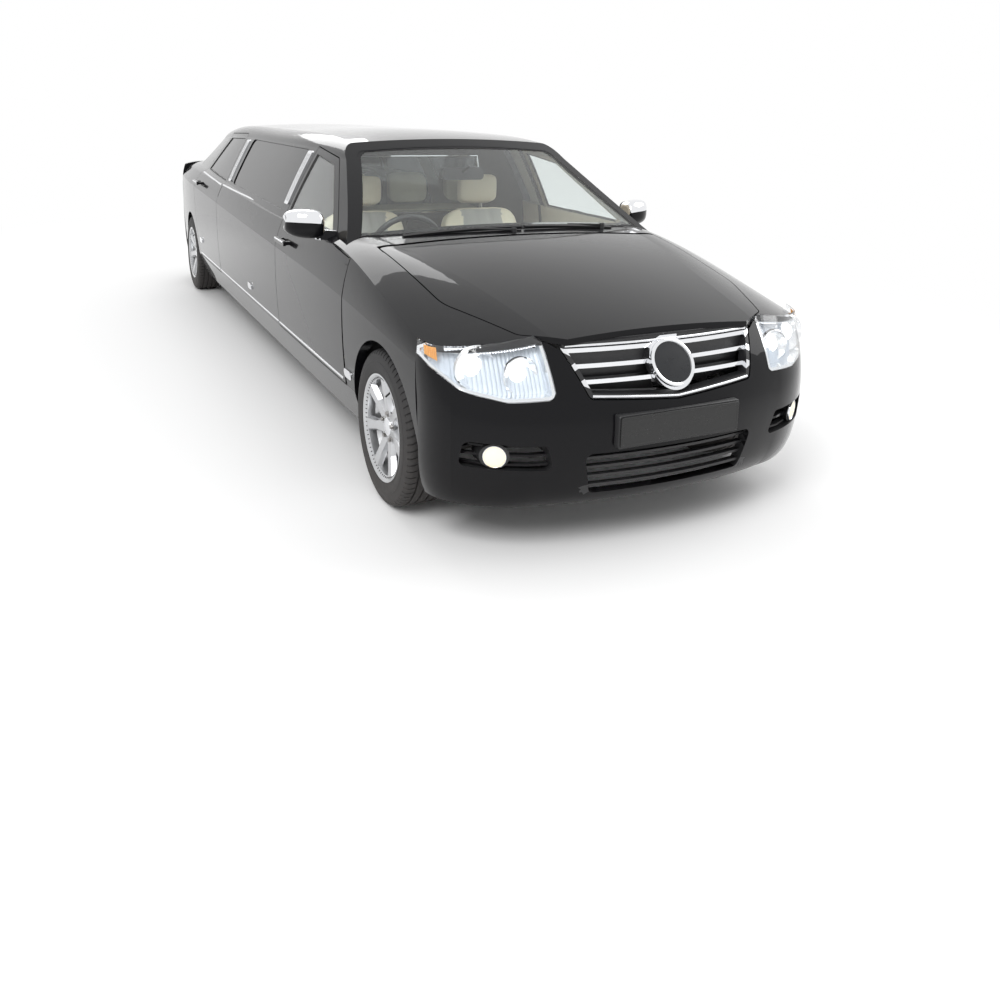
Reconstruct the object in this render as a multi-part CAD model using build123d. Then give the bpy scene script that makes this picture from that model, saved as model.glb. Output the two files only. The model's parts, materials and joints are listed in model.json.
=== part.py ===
from build123d import *
import os
from collections import namedtuple
from math import cos, pi, radians, sin, sqrt, tan

# Driving dimensions, millimetres
wheelbase = 4850
front_overhang = 775
rear_overhang = 1045
body_half_width = 885
track = 1541
tyre_diameter = 632
tyre_width = 205
rim_diameter = 406
spoke_count = 7

# Panel thicknesses and shut lines
shut_gap = 5
seat_gap = 0.3
door_skin = 5
door_depth = 95
frame_depth = 18
wing_depth = 45
panel_depth = 22
roof_depth = 30
pillar_depth = 42
glass_thickness = 5
glass_recess = 6
fascia_depth = 45

# Heights of the main lines of the body side
underside_z = 215
sill_line_z = 362
crown_z = 1447

# Places along the car: the front end is at negative Y
overall_length = front_overhang + wheelbase + rear_overhang
front_axle = front_overhang - overall_length / 2
rear_axle = front_axle + wheelbase
axle_z = tyre_diameter / 2
arch_radius = 352
nose_join = front_axle - 372
tail_join = rear_axle + 560
wing_end = front_axle + 452

# Door places
front_door_lead = wing_end
front_door_trail = front_axle + 1700
rear_door_lead = rear_axle - 1340
hinge_overhang = 75
hinge_depth = 16
pin_radius = 4
pin_fit = 0.1
knuckle_radius = 6.5
hinge_heights = (500, 740)
hinge_x = body_half_width - 12 - hinge_depth
case_inset = 14
case_at_hinge = hinge_overhang + shut_gap + 12

# Windscreen and rear window: base point on the centre line, slope and curve in plan
screen_base = (front_axle + 505, 985)
screen_top = (front_axle + 1165, 1345)
screen_plan_radius = 2600
rear_glass_top = (rear_axle - 345, 1400)
rear_glass_base = (rear_axle + 345, 1062)
rear_plan_radius = 2400

# Bonnet and boot lid
wiper_well = 28
bonnet_rear = wing_end - wiper_well
bonnet_hinge = (front_axle + 505, 938)
boot_front = rear_axle + 395
boot_hinge = (rear_axle + 150, 955)
boot_gutter = 14
lid_step_z = 936
hinge_ring = 14
lid_pin_radius = 6
lid_arm_width = 20
boot_arm_x = 470
bonnet_arm_x = 600
bonnet_rear_x = 722
boot_route = [(20, -298), (176, -250), (279, -135), (310, 0), (310, 95)]
bonnet_route = [(-70, -85), (-150, -60), (-150, 28)]

# Roof, bumpers and floor
roof_half = 548
bumper_top_z = 705
floor_top_z = 240
jack_x = 670
jack_y = (-1800, 1600)
jack_pad = 35
jack_pad_drop = 10
swing_room = 4
boot_floor_z = 440
rear_step = rear_axle - 560

# Lamps, grille and bright trim
fog_x = 675
fog_z = 393
fog_radius = 46
intake_slats = (262, 296, 330, 364)
fog_slats = (fog_z - 34, fog_z, fog_z + 34)
nose_plan_radius = 2200
grille_lean = 0.46
grille_slats = ((632, 648), (684, 700), (736, 752))
boss_z = 684
boss_radius = 92
trim_width = 80
flute_count = 5

# Seats, steering wheel, wheels and hubs
driver_x = -372
wheel_hub = Vector(driver_x, front_axle + 1030, 872)
liner_radius = 380
king_offset = 55
king_x = track / 2 - king_offset
strut_x = king_x - 92
disc_near = track / 2 - 34
disc_thickness = 22
disc_radius = 148
spindle_radius = 16
hub_face = track / 2 + 40

BodyStation = namedtuple(
    "BodyStation", "y sill_x crease_z crease_x shoulder_z shoulder_x deck_x deck_z centre_z")
body_stations = [
    BodyStation(front_axle - 800, 842, 585, 850, 635, 846, 405, 742, 760),
    BodyStation(front_axle - 372, 846, 676, 866, 752, 845, 486, 848, 868),
    BodyStation(front_axle, 856, 722, 878, 842, 848, 552, 922, 944),
    BodyStation(front_axle + 460, 863, 762, 884, 938, 842, 640, 984, 1006),
    BodyStation(front_axle + 1500, 866, 806, body_half_width, 962, 838, 700, 1000, 1022),
    BodyStation((front_axle + rear_axle) / 2 + 600, 866, 856, body_half_width, 990, 836, 700, 1030, 1052),
    BodyStation(rear_axle - 650, 864, 900, 884, 1015, 828, 690, 1056, 1074),
    BodyStation(rear_axle, 858, 924, 878, 1030, 812, 660, 1064, 1080),
    BodyStation(rear_axle + 560, 836, 936, 850, 1030, 782, 620, 1062, 1076),
    BodyStation(rear_axle + 1100, 816, 930, 828, 1010, 752, 560, 1044, 1056),
]

CabinStation = namedtuple("CabinStation", "y belt_x rail_x rail_z roof_x roof_z centre_z")
cabin_stations = [
    CabinStation(front_axle + 200, 812, 596, 1215, 500, 1264, 1282),
    CabinStation(front_axle + 850, 826, 622, 1274, 540, 1334, 1354),
    CabinStation(front_axle + 1500, 833, 638, 1338, 558, 1408, crown_z - 15),
    CabinStation((front_axle + rear_axle) / 2, 835, 642, 1350, 560, 1424, crown_z),
    CabinStation(rear_axle - 1300, 833, 638, 1348, 556, 1422, crown_z - 3),
    CabinStation(rear_axle - 500, 822, 618, 1322, 535, 1388, 1410),
    CabinStation(rear_axle + 500, 786, 570, 1240, 485, 1296, 1314),
]
cabin_floor_z = 900
belt_reference_z = 950

EndLevel = namedtuple("EndLevel", "z tip_y front_x front_back corner_x corner_back side_x")
nose_levels = [
    EndLevel(188, front_axle - 712, 500, 62, 770, 205, 828),
    EndLevel(300, front_axle - 758, 520, 62, 796, 222, 852),
    EndLevel(430, front_axle - front_overhang, 525, 62, 803, 228, 857),
    EndLevel(560, front_axle - 768, 522, 62, 803, 226, 862),
    EndLevel(690, front_axle - 712, 512, 60, 800, 200, 866),
    EndLevel(790, front_axle - 640, 500, 56, 792, 160, 858),
    EndLevel(880, front_axle - 565, 490, 50, 770, 120, 838),
]
tail_levels = [
    EndLevel(228, rear_axle + 935, 560, 50, 760, 165, 818),
    EndLevel(340, rear_axle + 1010, 590, 55, 784, 205, 838),
    EndLevel(500, rear_axle + rear_overhang, 600, 58, 792, 230, 846),
    EndLevel(650, rear_axle + 1030, 596, 58, 788, 222, 850),
    EndLevel(790, rear_axle + 985, 585, 56, 782, 190, 852),
    EndLevel(930, rear_axle + 975, 575, 56, 770, 190, 849),
    EndLevel(1080, rear_axle + 960, 560, 56, 740, 190, 800),
]


def line(start, end):
    return Edge.make_line(start, end)


def arc(start, middle, end):
    return Edge.make_three_point_arc(Vector(*start), Vector(*middle), Vector(*end))


def bulged(start, end, bulge):
    """Point half way, pushed out to the right of the way from start to end."""
    du = end[0] - start[0]
    dv = end[1] - start[1]
    length = sqrt(du * du + dv * dv)
    return ((start[0] + end[0]) / 2 + bulge * dv / length, (start[1] + end[1]) / 2 - bulge * du / length)


def mirrored_wire(y, points):
    """Closed section at one place along the car from the right half's (x, z, bulge) points."""
    first = points[0]
    last = points[-1]
    edges = [line((-first[0], y, first[1]), (first[0], y, first[1]))]
    left = []
    for here, there in zip(points[:-2], points[1:-1]):
        if there[2]:
            middle = bulged(here, there, there[2])
            edges.append(arc((here[0], y, here[1]), (middle[0], y, middle[1]), (there[0], y, there[1])))
            left.append(arc((-there[0], y, there[1]), (-middle[0], y, middle[1]), (-here[0], y, here[1])))
        else:
            edges.append(line((here[0], y, here[1]), (there[0], y, there[1])))
            left.append(line((-there[0], y, there[1]), (-here[0], y, here[1])))
    top = points[-2]
    edges.append(arc((top[0], y, top[1]), (0, y, last[1]), (-top[0], y, top[1])))
    return Wire(edges + left[::-1])


def body_solid(side_in=0, top_in=0, floor_drop=0):
    """The lower body from nose to tail, or the same form drawn in from the sides and the top."""
    wires = []
    for s in body_stations:
        wires.append(mirrored_wire(s.y, [
            (s.sill_x - 40 - side_in, underside_z - floor_drop, 0),
            (s.sill_x - side_in, sill_line_z, 0),
            (s.crease_x - side_in, s.crease_z, 7),
            (s.shoulder_x - side_in, s.shoulder_z - top_in, 5),
            (s.deck_x, s.deck_z - top_in, 14),
            (0, s.centre_z - top_in, 0),
        ]))
    return Solid.make_loft(wires)


def cabin_solid(side_in=0, top_in=0):
    """The cabin above the belt line as if it had no sloping screens."""
    wires = []
    for s in cabin_stations:
        lean = (s.belt_x - s.rail_x) / (s.rail_z - belt_reference_z)
        foot_x = s.belt_x + lean * (belt_reference_z - cabin_floor_z)
        wires.append(mirrored_wire(s.y, [
            (foot_x - side_in, cabin_floor_z, 0),
            (s.rail_x - side_in, s.rail_z - top_in * 0.5, 9),
            (s.roof_x - side_in, s.roof_z - top_in, 16),
            (0, s.centre_z - top_in, 0),
        ]))
    return Solid.make_loft(wires)


def end_solid(levels, join_y, inset=0, extend=0):
    """A bumper end as a ladder of plan outlines, tip arc and two corner arcs a side, carried on inboard."""
    heading = 1 if join_y > 0 else -1
    back_y = join_y - heading * extend
    wires = []
    for v in levels:
        tip = v.tip_y - heading * inset
        front = (v.front_x - inset * 0.5, tip - heading * v.front_back)
        corner = (v.corner_x - inset, tip - heading * v.corner_back)
        side = (v.side_x - inset, join_y)
        tip_bulge = bulged(corner, front, 26 * heading)
        side_bulge = bulged(side, corner, 14 * heading)
        right = [arc((*side, v.z), (*side_bulge, v.z), (*corner, v.z)),
                 arc((*corner, v.z), (*tip_bulge, v.z), (*front, v.z))]
        left = [arc((-front[0], front[1], v.z), (-tip_bulge[0], tip_bulge[1], v.z),
                    (-corner[0], corner[1], v.z)),
                arc((-corner[0], corner[1], v.z), (-side_bulge[0], side_bulge[1], v.z),
                    (-side[0], join_y, v.z))]
        if extend:
            right.insert(0, line((side[0], back_y, v.z), (*side, v.z)))
            left.append(line((-side[0], join_y, v.z), (-side[0], back_y, v.z)))
        middle = arc((*front, v.z), (0, tip, v.z), (-front[0], front[1], v.z))
        across = line((-side[0], back_y, v.z), (side[0], back_y, v.z))
        wires.append(Wire([across] + right + [middle] + left))
    return Solid.make_loft(wires)


def rounded_face(points, place):
    """Closed outline of (u, v, radius) corners, each corner rounded by its radius."""
    count = len(points)
    spans = []
    for i in range(count):
        before = Vector(points[i - 1][0], points[i - 1][1])
        here = Vector(points[i][0], points[i][1])
        after = Vector(points[(i + 1) % count][0], points[(i + 1) % count][1])
        radius = points[i][2]
        if not radius:
            spans.append((here, None, here))
            continue
        back = (before - here).normalized()
        ahead = (after - here).normalized()
        half_turn = radians(back.get_angle(ahead)) / 2
        reach = radius / tan(half_turn)
        centre = here + (back + ahead).normalized() * (radius / sin(half_turn))
        middle = centre + (here - centre).normalized() * radius
        spans.append((here + back * reach, middle, here + ahead * reach))
    edges = []
    for i, (start, middle, end) in enumerate(spans):
        if middle is not None:
            edges.append(arc(place(start.X, start.Y), place(middle.X, middle.Y), place(end.X, end.Y)))
        following = spans[(i + 1) % count][0]
        if (following - end).length > 0.01:
            edges.append(line(place(end.X, end.Y), place(following.X, following.Y)))
    return Face(Wire(edges))


def side_prism(points, near_x, far_x):
    """Outline of (y, z, radius) corners carried across the car."""
    face = rounded_face(points, lambda y, z: (near_x, y, z))
    return Solid.extrude(face, Vector(far_x - near_x, 0, 0))


def plan_prism(points, low_z, high_z):
    """Outline of (x, y, radius) corners carried upwards."""
    face = rounded_face(points, lambda x, y: (x, y, low_z))
    return Solid.extrude(face, Vector(0, 0, high_z - low_z))


def front_prism(points, near_y, far_y):
    """Outline of (x, z, radius) corners carried along the car."""
    face = rounded_face(points, lambda x, z: (x, near_y, z))
    return Solid.extrude(face, Vector(0, far_y - near_y, 0))


def inset(points, gaps):
    """The outline drawn in by one gap, or by one gap for each edge; corners run anticlockwise."""
    count = len(points)
    if not isinstance(gaps, (list, tuple)):
        gaps = [gaps] * count
    moved = []
    for i in range(count):
        corner = []
        for a, b, gap in ((i - 1, i, gaps[i - 1]), (i, (i + 1) % count, gaps[i])):
            du = points[b][0] - points[a][0]
            dv = points[b][1] - points[a][1]
            length = sqrt(du * du + dv * dv)
            normal = (-dv / length, du / length)
            corner.append((normal[0], normal[1],
                           normal[0] * points[i][0] + normal[1] * points[i][1] + gap))
        (a, b, e), (c, d, f) = corner
        det = a * d - b * c
        radius = points[i][2]
        kept = max(radius - min(gaps[i - 1], gaps[i]), 1) if radius else 0
        moved.append(((e * d - b * f) / det, (a * f - e * c) / det, kept))
    return moved


def block(x0, x1, y0, y1, z0, z1):
    """A plain block between two corners."""
    return Pos((x0 + x1) / 2, (y0 + y1) / 2, (z0 + z1) / 2) * Solid.make_box(
        x1 - x0, y1 - y0, z1 - z0, Plane((-(x1 - x0) / 2, -(y1 - y0) / 2, -(z1 - z0) / 2)))


def rod(start, end, radius):
    """A round bar from one point to another."""
    way = Vector(*end) - Vector(*start)
    return Solid.make_cylinder(radius, way.length, Plane(origin=start, z_dir=way))


def mirrored(shape):
    return shape.mirror(Plane.YZ)


def save(node, *shapes):
    """Write the solids of one piece, or of like pieces on one body, to its own file."""
    solids = [solid for shape in shapes for solid in shape.solids()]
    export_step(Compound(solids), f"parts/{node}.step")


def screen_tool(base, top, plan_radius, setback, depth):
    """A leaning slab behind a screen's curved face: setback from the face, depth behind that."""
    rise = Vector(0, top[0] - base[0], top[1] - base[1]).normalized()
    outward = -1 if rise.Y > 0 else 1
    half_span = 1000
    fall = half_span * half_span / (2 * plan_radius)
    low = 700
    reach = 2200

    def edge_y(offset):
        return base[0] - outward * offset / rise.Z

    near = edge_y(setback)
    far = edge_y(setback + depth)
    start = Vector(0, 0, base[1]) - rise * low
    corners = [(sign * half_span, y - outward * fall) for y in (near, far) for sign in (-1, 1)]
    (xa, ya), (xb, yb), (xc, yc), (xd, yd) = corners
    lift = (start.Y, start.Z)
    face = Face(Wire([
        arc((xa, ya + lift[0], lift[1]), (0, near + lift[0], lift[1]), (xb, yb + lift[0], lift[1])),
        line((xb, yb + lift[0], lift[1]), (xd, yd + lift[0], lift[1])),
        arc((xd, yd + lift[0], lift[1]), (0, far + lift[0], lift[1]), (xc, yc + lift[0], lift[1])),
        line((xc, yc + lift[0], lift[1]), (xa, ya + lift[0], lift[1])),
    ]))
    return Solid.extrude(face, rise * reach)


# Forms that the panels are cut from
body = body_solid()
lid_form = body_solid(side_in=-70, floor_drop=60)
under_lid = body_solid(side_in=-70, top_in=panel_depth)
cabin = cabin_solid()
cabin_room = cabin_solid(pillar_depth, roof_depth)
nose = end_solid(nose_levels, nose_join) & lid_form
tail = end_solid(tail_levels, tail_join) & lid_form
front_air = screen_tool(screen_base, screen_top, screen_plan_radius, -2500, 2500)
rear_air = screen_tool(rear_glass_base, rear_glass_top, rear_plan_radius, -2500, 2500)

# Door outlines, corners as (y, z, radius), seen from the car's left
front_door_outline = [
    (front_door_lead + 18, sill_line_z, 12),
    (front_door_trail, sill_line_z, 12),
    (front_door_trail - 8, 965, 0),
    (front_door_trail - 30, 1362, 25),
    (front_axle + 1275, 1318, 45),
    (front_axle + 712, 958, 0),
    (front_door_lead, 932, 8),
]
rear_door_outline = [
    (rear_door_lead, sill_line_z, 12),
    (rear_axle - 436, sill_line_z, 12),
    (rear_axle - 352, 548, 60),
    (rear_axle - 296, 900, 40),
    (rear_axle - 318, 1040, 10),
    (rear_axle - 680, 1356, 70),
    (rear_door_lead + 26, 1374, 25),
    (rear_door_lead + 4, 1000, 0),
]
front_window_outline = inset(
    [front_door_outline[i][:2] + (30,) for i in (5, 2, 3, 4)], [28, 45, 38, 42])
rear_window_outline = inset(
    [(rear_door_lead + 4, 1002, 30), (rear_axle - 318, 1036, 30), (rear_axle - 680, 1356, 60),
     (rear_door_lead + 26, 1374, 30)], [24, 46, 38, 45])
long_window_outline = [
    (front_door_trail + 92, 1003, 30),
    (rear_door_lead - 225, 1030, 30),
    (rear_door_lead - 225, 1338, 40),
    (front_door_trail + 92, 1336, 40),
]
far_x = 1100
near_x = 450
front_opening = side_prism(front_door_outline, near_x, far_x)
rear_opening = side_prism(rear_door_outline, near_x, far_x)


def arch_cut(axle_y, near, radius):
    return Solid.make_cylinder(radius, far_x - near, Plane(origin=(near, axle_y, axle_z), z_dir=(1, 0, 0)))


def hinge_y(lead):
    return lead + shut_gap + hinge_overhang


def door(outline, window, lead):
    """Door of the car's left: outer skin, inner case, window frame and hinge knuckles."""
    skin_edge = inset(outline, shut_gap)
    case_edge = inset(outline, [case_inset] * (len(outline) - 1) + [case_at_hinge])
    outer = side_prism(skin_edge, near_x, far_x)
    skin = (outer & body) - body_solid(door_skin, door_skin, 60) - cabin_solid(frame_depth, frame_depth)
    case = side_prism(case_edge, near_x, far_x) & body_solid(door_skin - 1, -2)
    case = case - body_solid(door_depth, -200, 60)
    frame = (outer & cabin) - cabin_solid(frame_depth, frame_depth)
    shape = (skin + case + frame) - side_prism(window, near_x, far_x)
    axis_y = hinge_y(lead)
    leaves = []
    bores = []
    for z in hinge_heights:
        for low, high in ((z + 11.3, z + 32), (z - 32, z - 11.3)):
            leaves.append(rod((hinge_x, axis_y, low), (hinge_x, axis_y, high), knuckle_radius))
            leaves.append(block(hinge_x - 5, hinge_x + 4, axis_y, axis_y + 40, low, high))
        bores.append(rod((hinge_x, axis_y, z - 40), (hinge_x, axis_y, z + 40), pin_radius + pin_fit))
    return (shape + leaves) - bores


def hinge_post(lead, back_x):
    """Post inside the door's leading edge with two hinge leaves and their pins."""
    post_x = body_half_width - 112
    axis_y = hinge_y(lead)
    post = block(post_x - 70, post_x, lead - 45, axis_y - 2, 330, 900)
    post = post + block(post_x - 70, back_x, lead - 45, lead - 4, 330, 900)
    for z in hinge_heights:
        post = post + block(post_x - 5, hinge_x, axis_y - 5, axis_y + 4, z - 11, z + 11)
        post = post + rod((hinge_x, axis_y, z - 11), (hinge_x, axis_y, z + 11), knuckle_radius)
        post = post + rod((hinge_x, axis_y, z - 31), (hinge_x, axis_y, z + 31), pin_radius)
    return post


def pane(window):
    """Side glass that fits its window with the seat gap all round, down to the belt line."""
    slab = side_prism(inset(window, seat_gap), near_x, far_x) & cabin_solid(glass_recess, glass_recess)
    return slab - cabin_solid(glass_recess + glass_thickness, glass_recess + glass_thickness)


def door_mirror():
    """Mirror head on its foot, standing on the sail corner of the left front door."""
    section = namedtuple("section", "x y half_length half_height z")
    rings = [
        section(848, front_axle + 878, 42, 44, 1026),
        section(858, front_axle + 879, 54, 56, 1028),
        section(885, front_axle + 884, 61, 63, 1031),
        section(935, front_axle + 895, 62, 65, 1034),
        section(978, front_axle + 912, 54, 59, 1036),
        section(1000, front_axle + 925, 42, 48, 1037),
        section(1012, front_axle + 934, 28, 36, 1037),
    ]
    wires = []
    for ring in rings:
        corners = [(-1, -1), (1, -1), (1, 1), (-1, 1)]
        radius = min(ring.half_length, ring.half_height) * 0.7
        points = [(ring.y + u * ring.half_length, ring.z + v * ring.half_height, radius) for u, v in corners]
        wires.append(rounded_face(points, lambda y, z: (ring.x, y, z)).outer_wire())
    head = Solid.make_loft(wires, True)
    foot = plan_prism([(800, front_axle + 832, 0), (800, front_axle + 792, 0), (880, front_axle + 852, 10),
                       (880, front_axle + 918, 10)], 962, 1006)
    return head + foot


def handle(lead_y, z):
    """Pull handle standing off the door skin on two feet."""
    tail_y = lead_y + 205
    bar = side_prism([(lead_y, z - 14, 10), (tail_y, z - 10, 10), (tail_y, z + 16, 10), (lead_y, z + 14, 10)],
                     body_half_width + 12, body_half_width + 26)
    for y in (lead_y + 8, lead_y + 160):
        bar = bar + block(body_half_width - 40, body_half_width + 14, y, y + 36, z - 9, z + 9)
    return bar


def side_frame():
    """Upper body side of the left: screen pillar, roof rail, posts and rear pillar."""
    strip = cabin - cabin_room
    strip = strip & block(roof_half, far_x, front_axle + 500, rear_axle + 600, cabin_floor_z, 1600)
    for tool in (front_air, rear_air, front_opening, rear_opening, body):
        strip = strip - tool
    return strip - side_prism(long_window_outline, near_x, far_x)


def sill_and_stretch():
    """Left sill from arch to arch with the long panel and the two hinge posts."""
    wall = body - body_solid(door_depth + 12, -200, 60)
    sill = wall & block(near_x, far_x, wing_end, rear_axle, 0, sill_line_z)
    sill = sill - arch_cut(rear_axle, near_x, arch_radius)
    panel = wall & block(near_x, far_x, front_door_trail - 40, rear_door_lead + 40, 0, 1200)
    swing = block(body_half_width - 50, body_half_width - 13, rear_door_lead - swing_room, rear_door_lead + 40,
                  sill_line_z, 1000)
    panel = panel - front_opening - rear_opening - swing
    shape = sill + panel
    shape = shape + hinge_post(front_door_lead, body_half_width - 112)
    return shape + hinge_post(rear_door_lead, body_half_width - 60)


def boot_plan(gap, front_gap):
    """Top view of the boot lid, drawn in by a gap, with its own gap at the front edge."""
    return inset([(620, boot_front, 40), (606, rear_axle + 1100, 0), (-606, rear_axle + 1100, 0),
                  (-620, boot_front, 40)], [gap, gap, gap, front_gap])


lamp_outline = [
    (452, 742, 12), (900, 760, 0), (900, 905, 0), (470, 925, 12),
]
bonnet_outline = [
    (-402, front_axle - 640, 0), (402, front_axle - 640, 0), (548, front_axle - 545, 60),
    (690, front_axle - 200, 300), (bonnet_rear_x, bonnet_rear, 12), (-bonnet_rear_x, bonnet_rear, 12),
    (-690, front_axle - 200, 300), (-548, front_axle - 545, 60),
]
headlamp_outline = [
    (474, 594, 25), (640, 588, 60), (775, 618, 90), (850, 690, 60), (905, 790, 0), (905, 990, 0),
    (492, 990, 0),
]
grille_outline = [
    (-352, 592, 20), (0, 566, 0), (352, 592, 20), (436, 790, 15), (-436, 790, 15),
]


def mirror_outline(points):
    """The same outline on the other side of the car, still anticlockwise."""
    return [(-u, v, r) for u, v, r in points[::-1]]


def quarter_panels():
    """Both rear quarters joined by the deck in front of the boot lid."""
    form = body - body_solid(60, panel_depth, 60)
    form = form & block(-far_x, far_x, rear_axle - 520, tail_join, 0, 1200)
    room = cabin_room - rear_air
    tools = [rear_opening, mirrored(rear_opening), room,
             arch_cut(rear_axle, 300, arch_radius), mirrored(arch_cut(rear_axle, 300, arch_radius)),
             plan_prism(boot_plan(0, 0), 700, 1300),
             block(-far_x, far_x, rear_axle - 800, rear_axle - arch_radius + 40, 0, sill_line_z)]
    for tool in tools:
        form = form - tool
    corner = tail - (end_solid(tail_levels, tail_join, fascia_depth, 100) & under_lid)
    corner = corner & block(-far_x, far_x, tail_join + seat_gap, rear_axle + 1200, bumper_top_z, 1300)
    corner = corner - plan_prism(boot_plan(0, 0), lid_step_z, 1300) - tail_face(0)
    for outline in (lamp_outline, mirror_outline(lamp_outline)):
        corner = corner - front_prism(outline, tail_join + 60, rear_axle + 1200)
    strap = block(814, 840, tail_join - 40, tail_join + 40, bumper_top_z + 15, 850)
    return form + corner + strap + mirrored(strap)


def tail_face(gap):
    """Opening of the boot lid in the car's tail, drawn in by a gap."""
    low_z = bumper_top_z + 20
    outline = [(-430, low_z, 30), (430, low_z, 30), (430, lid_step_z, 0), (606, lid_step_z, 0),
               (606, 1300, 0), (-606, 1300, 0), (-606, lid_step_z, 0), (-430, lid_step_z, 0)]
    return front_prism(inset(outline, gap), tail_join + 200, rear_axle + 1200)


def boot_lid():
    """Lid with its top, its upright face and two bent hinge arms."""
    top = (body - body_solid(-70, panel_depth, 60)) & plan_prism(boot_plan(shut_gap, boot_gutter), 700, 1300)
    top = top & block(-far_x, far_x, boot_front, tail_join, 700, 1300)
    back = tail - (end_solid(tail_levels, tail_join, panel_depth + 8, 200) & under_lid)
    back = back & plan_prism(boot_plan(shut_gap, boot_gutter), 700, 1300)
    face = back & tail_face(shut_gap)
    cover = back & block(-far_x, far_x, tail_join - 0.01, rear_axle + 900, 1000, 1300)
    shape = top + cover + face
    for outline in (lamp_outline, mirror_outline(lamp_outline)):
        shape = shape - front_prism(inset(outline, -shut_gap), tail_join + 60, rear_axle + 1200)
    return shape


def arm_prism(centre_x, width, pivot, ring_radius, route, thickness):
    """A bent hinge arm from its pivot ring along a route of (y, z) steps from the pivot."""
    shape = rod((centre_x - width / 2, *pivot), (centre_x + width / 2, *pivot), ring_radius)
    here = (0, 0)
    for there in route:
        way = Vector(0, there[0] - here[0], there[1] - here[1])
        across = Vector(0, -way.Z, way.Y).normalized() * (thickness / 2)
        start = Vector(centre_x - width / 2, pivot[0] + here[0], pivot[1] + here[1])
        end = start + way
        face = Face(Wire.make_polygon([start - across, end - across, end + across, start + across]))
        shape = shape + Solid.extrude(face, Vector(width, 0, 0))
        shape = shape + rod(end, end + Vector(width, 0, 0), thickness / 2)
        here = there
    return shape


def hinged_lid(panel, pivot, arm_x, route):
    """A lid with an arm on each side that turns on a pin of the body."""
    shape = panel
    for x in (-arm_x, arm_x):
        shape = shape + arm_prism(x, lid_arm_width, pivot, hinge_ring, route, 16)
        shape = shape - rod((x - 30, *pivot), (x + 30, *pivot), lid_pin_radius + pin_fit)
    return shape


def lid_pins(pivot, arm_x, back_y):
    """Brackets beside each arm with the pin that the arm turns on."""
    pieces = []
    for x in (-arm_x, arm_x):
        inner = x - 12 if x > 0 else x + 12
        side = -1 if x > 0 else 1
        pin = rod((inner + side * 8, *pivot), (x - side * 14, *pivot), lid_pin_radius)
        low_y, high_y = sorted((pivot[0] - 12 if back_y > pivot[0] else pivot[0] + 12, back_y))
        low_x, high_x = sorted((inner, inner + side * 10))
        pieces.append(pin + block(low_x, high_x, low_y, high_y, pivot[1] - 14, pivot[1] + 14))
    return pieces


def bonnet():
    """Bonnet skin between the wings, over the grille, with its two hinge arms."""
    sheet = body - body_solid(-70, panel_depth, 60)
    sheet = sheet & plan_prism(bonnet_outline, 600, 1300)
    return hinged_lid(sheet, bonnet_hinge, bonnet_arm_x, bonnet_route)


def bonnet_room():
    """Upright column over the bonnet's plan with the shut gap round it."""
    return plan_prism(inset(bonnet_outline, -shut_gap), 500, 1300)


def front_wings():
    """Left front wing with its arch cut and its brow over the headlamp, up to the bonnet's shut line."""
    form = body - body_solid(wing_depth, panel_depth, 60)
    form = form & block(300, far_x, nose_join + 3, wing_end, 0, 1200)
    form = form - arch_cut(front_axle, 300, arch_radius)
    brow = (body - body_solid(-70, panel_depth, 60)) & end_solid(nose_levels, nose_join, 6, 30)
    form = form + (brow & block(300, far_x, front_axle - 700, nose_join + 10, 640, 1200))
    form = form - block(0, bonnet_rear_x + shut_gap, bonnet_rear - 60, wing_end + 1, 500, 1300)
    return form - bonnet_room()


def scuttle():
    """Panel between bonnet and windscreen, with the pillar feet."""
    form = body - body_solid(60, roof_depth, 60)
    form = form & block(-far_x, far_x, wing_end, front_axle + 716, 880, 1300)
    return form - front_opening - mirrored(front_opening)


def roof():
    """Roof panel between the rails, cut by both screens."""
    form = cabin - cabin_room
    form = form & block(-roof_half, roof_half, front_axle + 700, rear_axle + 400, 1200, 1600)
    return form - front_air - rear_air


def screen(base, top, plan_radius):
    """Screen glass seated inside pillars, roof edge and deck."""
    slab = screen_tool(base, top, plan_radius, 3, glass_thickness)
    room = cabin_solid(pillar_depth + seat_gap, roof_depth + seat_gap)
    return (slab & room) - body_solid(0, -seat_gap)


def fascia(depth_from, depth_to):
    """A layer of the nose between two depths behind its face."""
    outer = nose if not depth_from else end_solid(nose_levels, nose_join, depth_from) & nose
    return outer - end_solid(nose_levels, nose_join, depth_to, 100)


intake_outline = [(-335, 232, 25), (335, 232, 25), (372, 392, 25), (-372, 392, 25)]
fog_outline = [(480, 340, 20), (782, 352, 20), (772, 446, 25), (512, 436, 20)]


def curved_bar(low_z, high_z, tip_y, half_length, depth):
    """A slat across the nose, curved as the nose is in plan."""
    sag = half_length * half_length / (2 * nose_plan_radius)
    near = [(-half_length, tip_y + sag), (0, tip_y), (half_length, tip_y + sag)]
    far = [(x, y + depth) for x, y in near[::-1]]
    face = Face(Wire([
        arc(*[(x, y, low_z) for x, y in near]),
        line((*near[2], low_z), (*far[0], low_z)),
        arc(*[(x, y, low_z) for x, y in far]),
        line((*far[2], low_z), (*near[0], low_z)),
    ]))
    return Solid.extrude(face, Vector(0, 0, high_z - low_z))


def fog_bar(side, z):
    """A slat in the recess of a fog lamp, following the corner of the nose."""
    ends = [(450, front_axle - 700), (560, front_axle - 678), (700, front_axle - 610),
            (785, front_axle - 520)]
    points = [(side * x, y) for x, y in ends] + [(side * x, y + 24) for x, y in ends[::-1]]
    return plan_prism([(x, y, 0) for x, y in points], z - 4, z + 4)


def fog_barrel(side, radius):
    """Round tool along the car through one fog lamp."""
    return rod((side * fog_x, front_axle - 900, fog_z), (side * fog_x, front_axle - 300, fog_z), radius)


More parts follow.
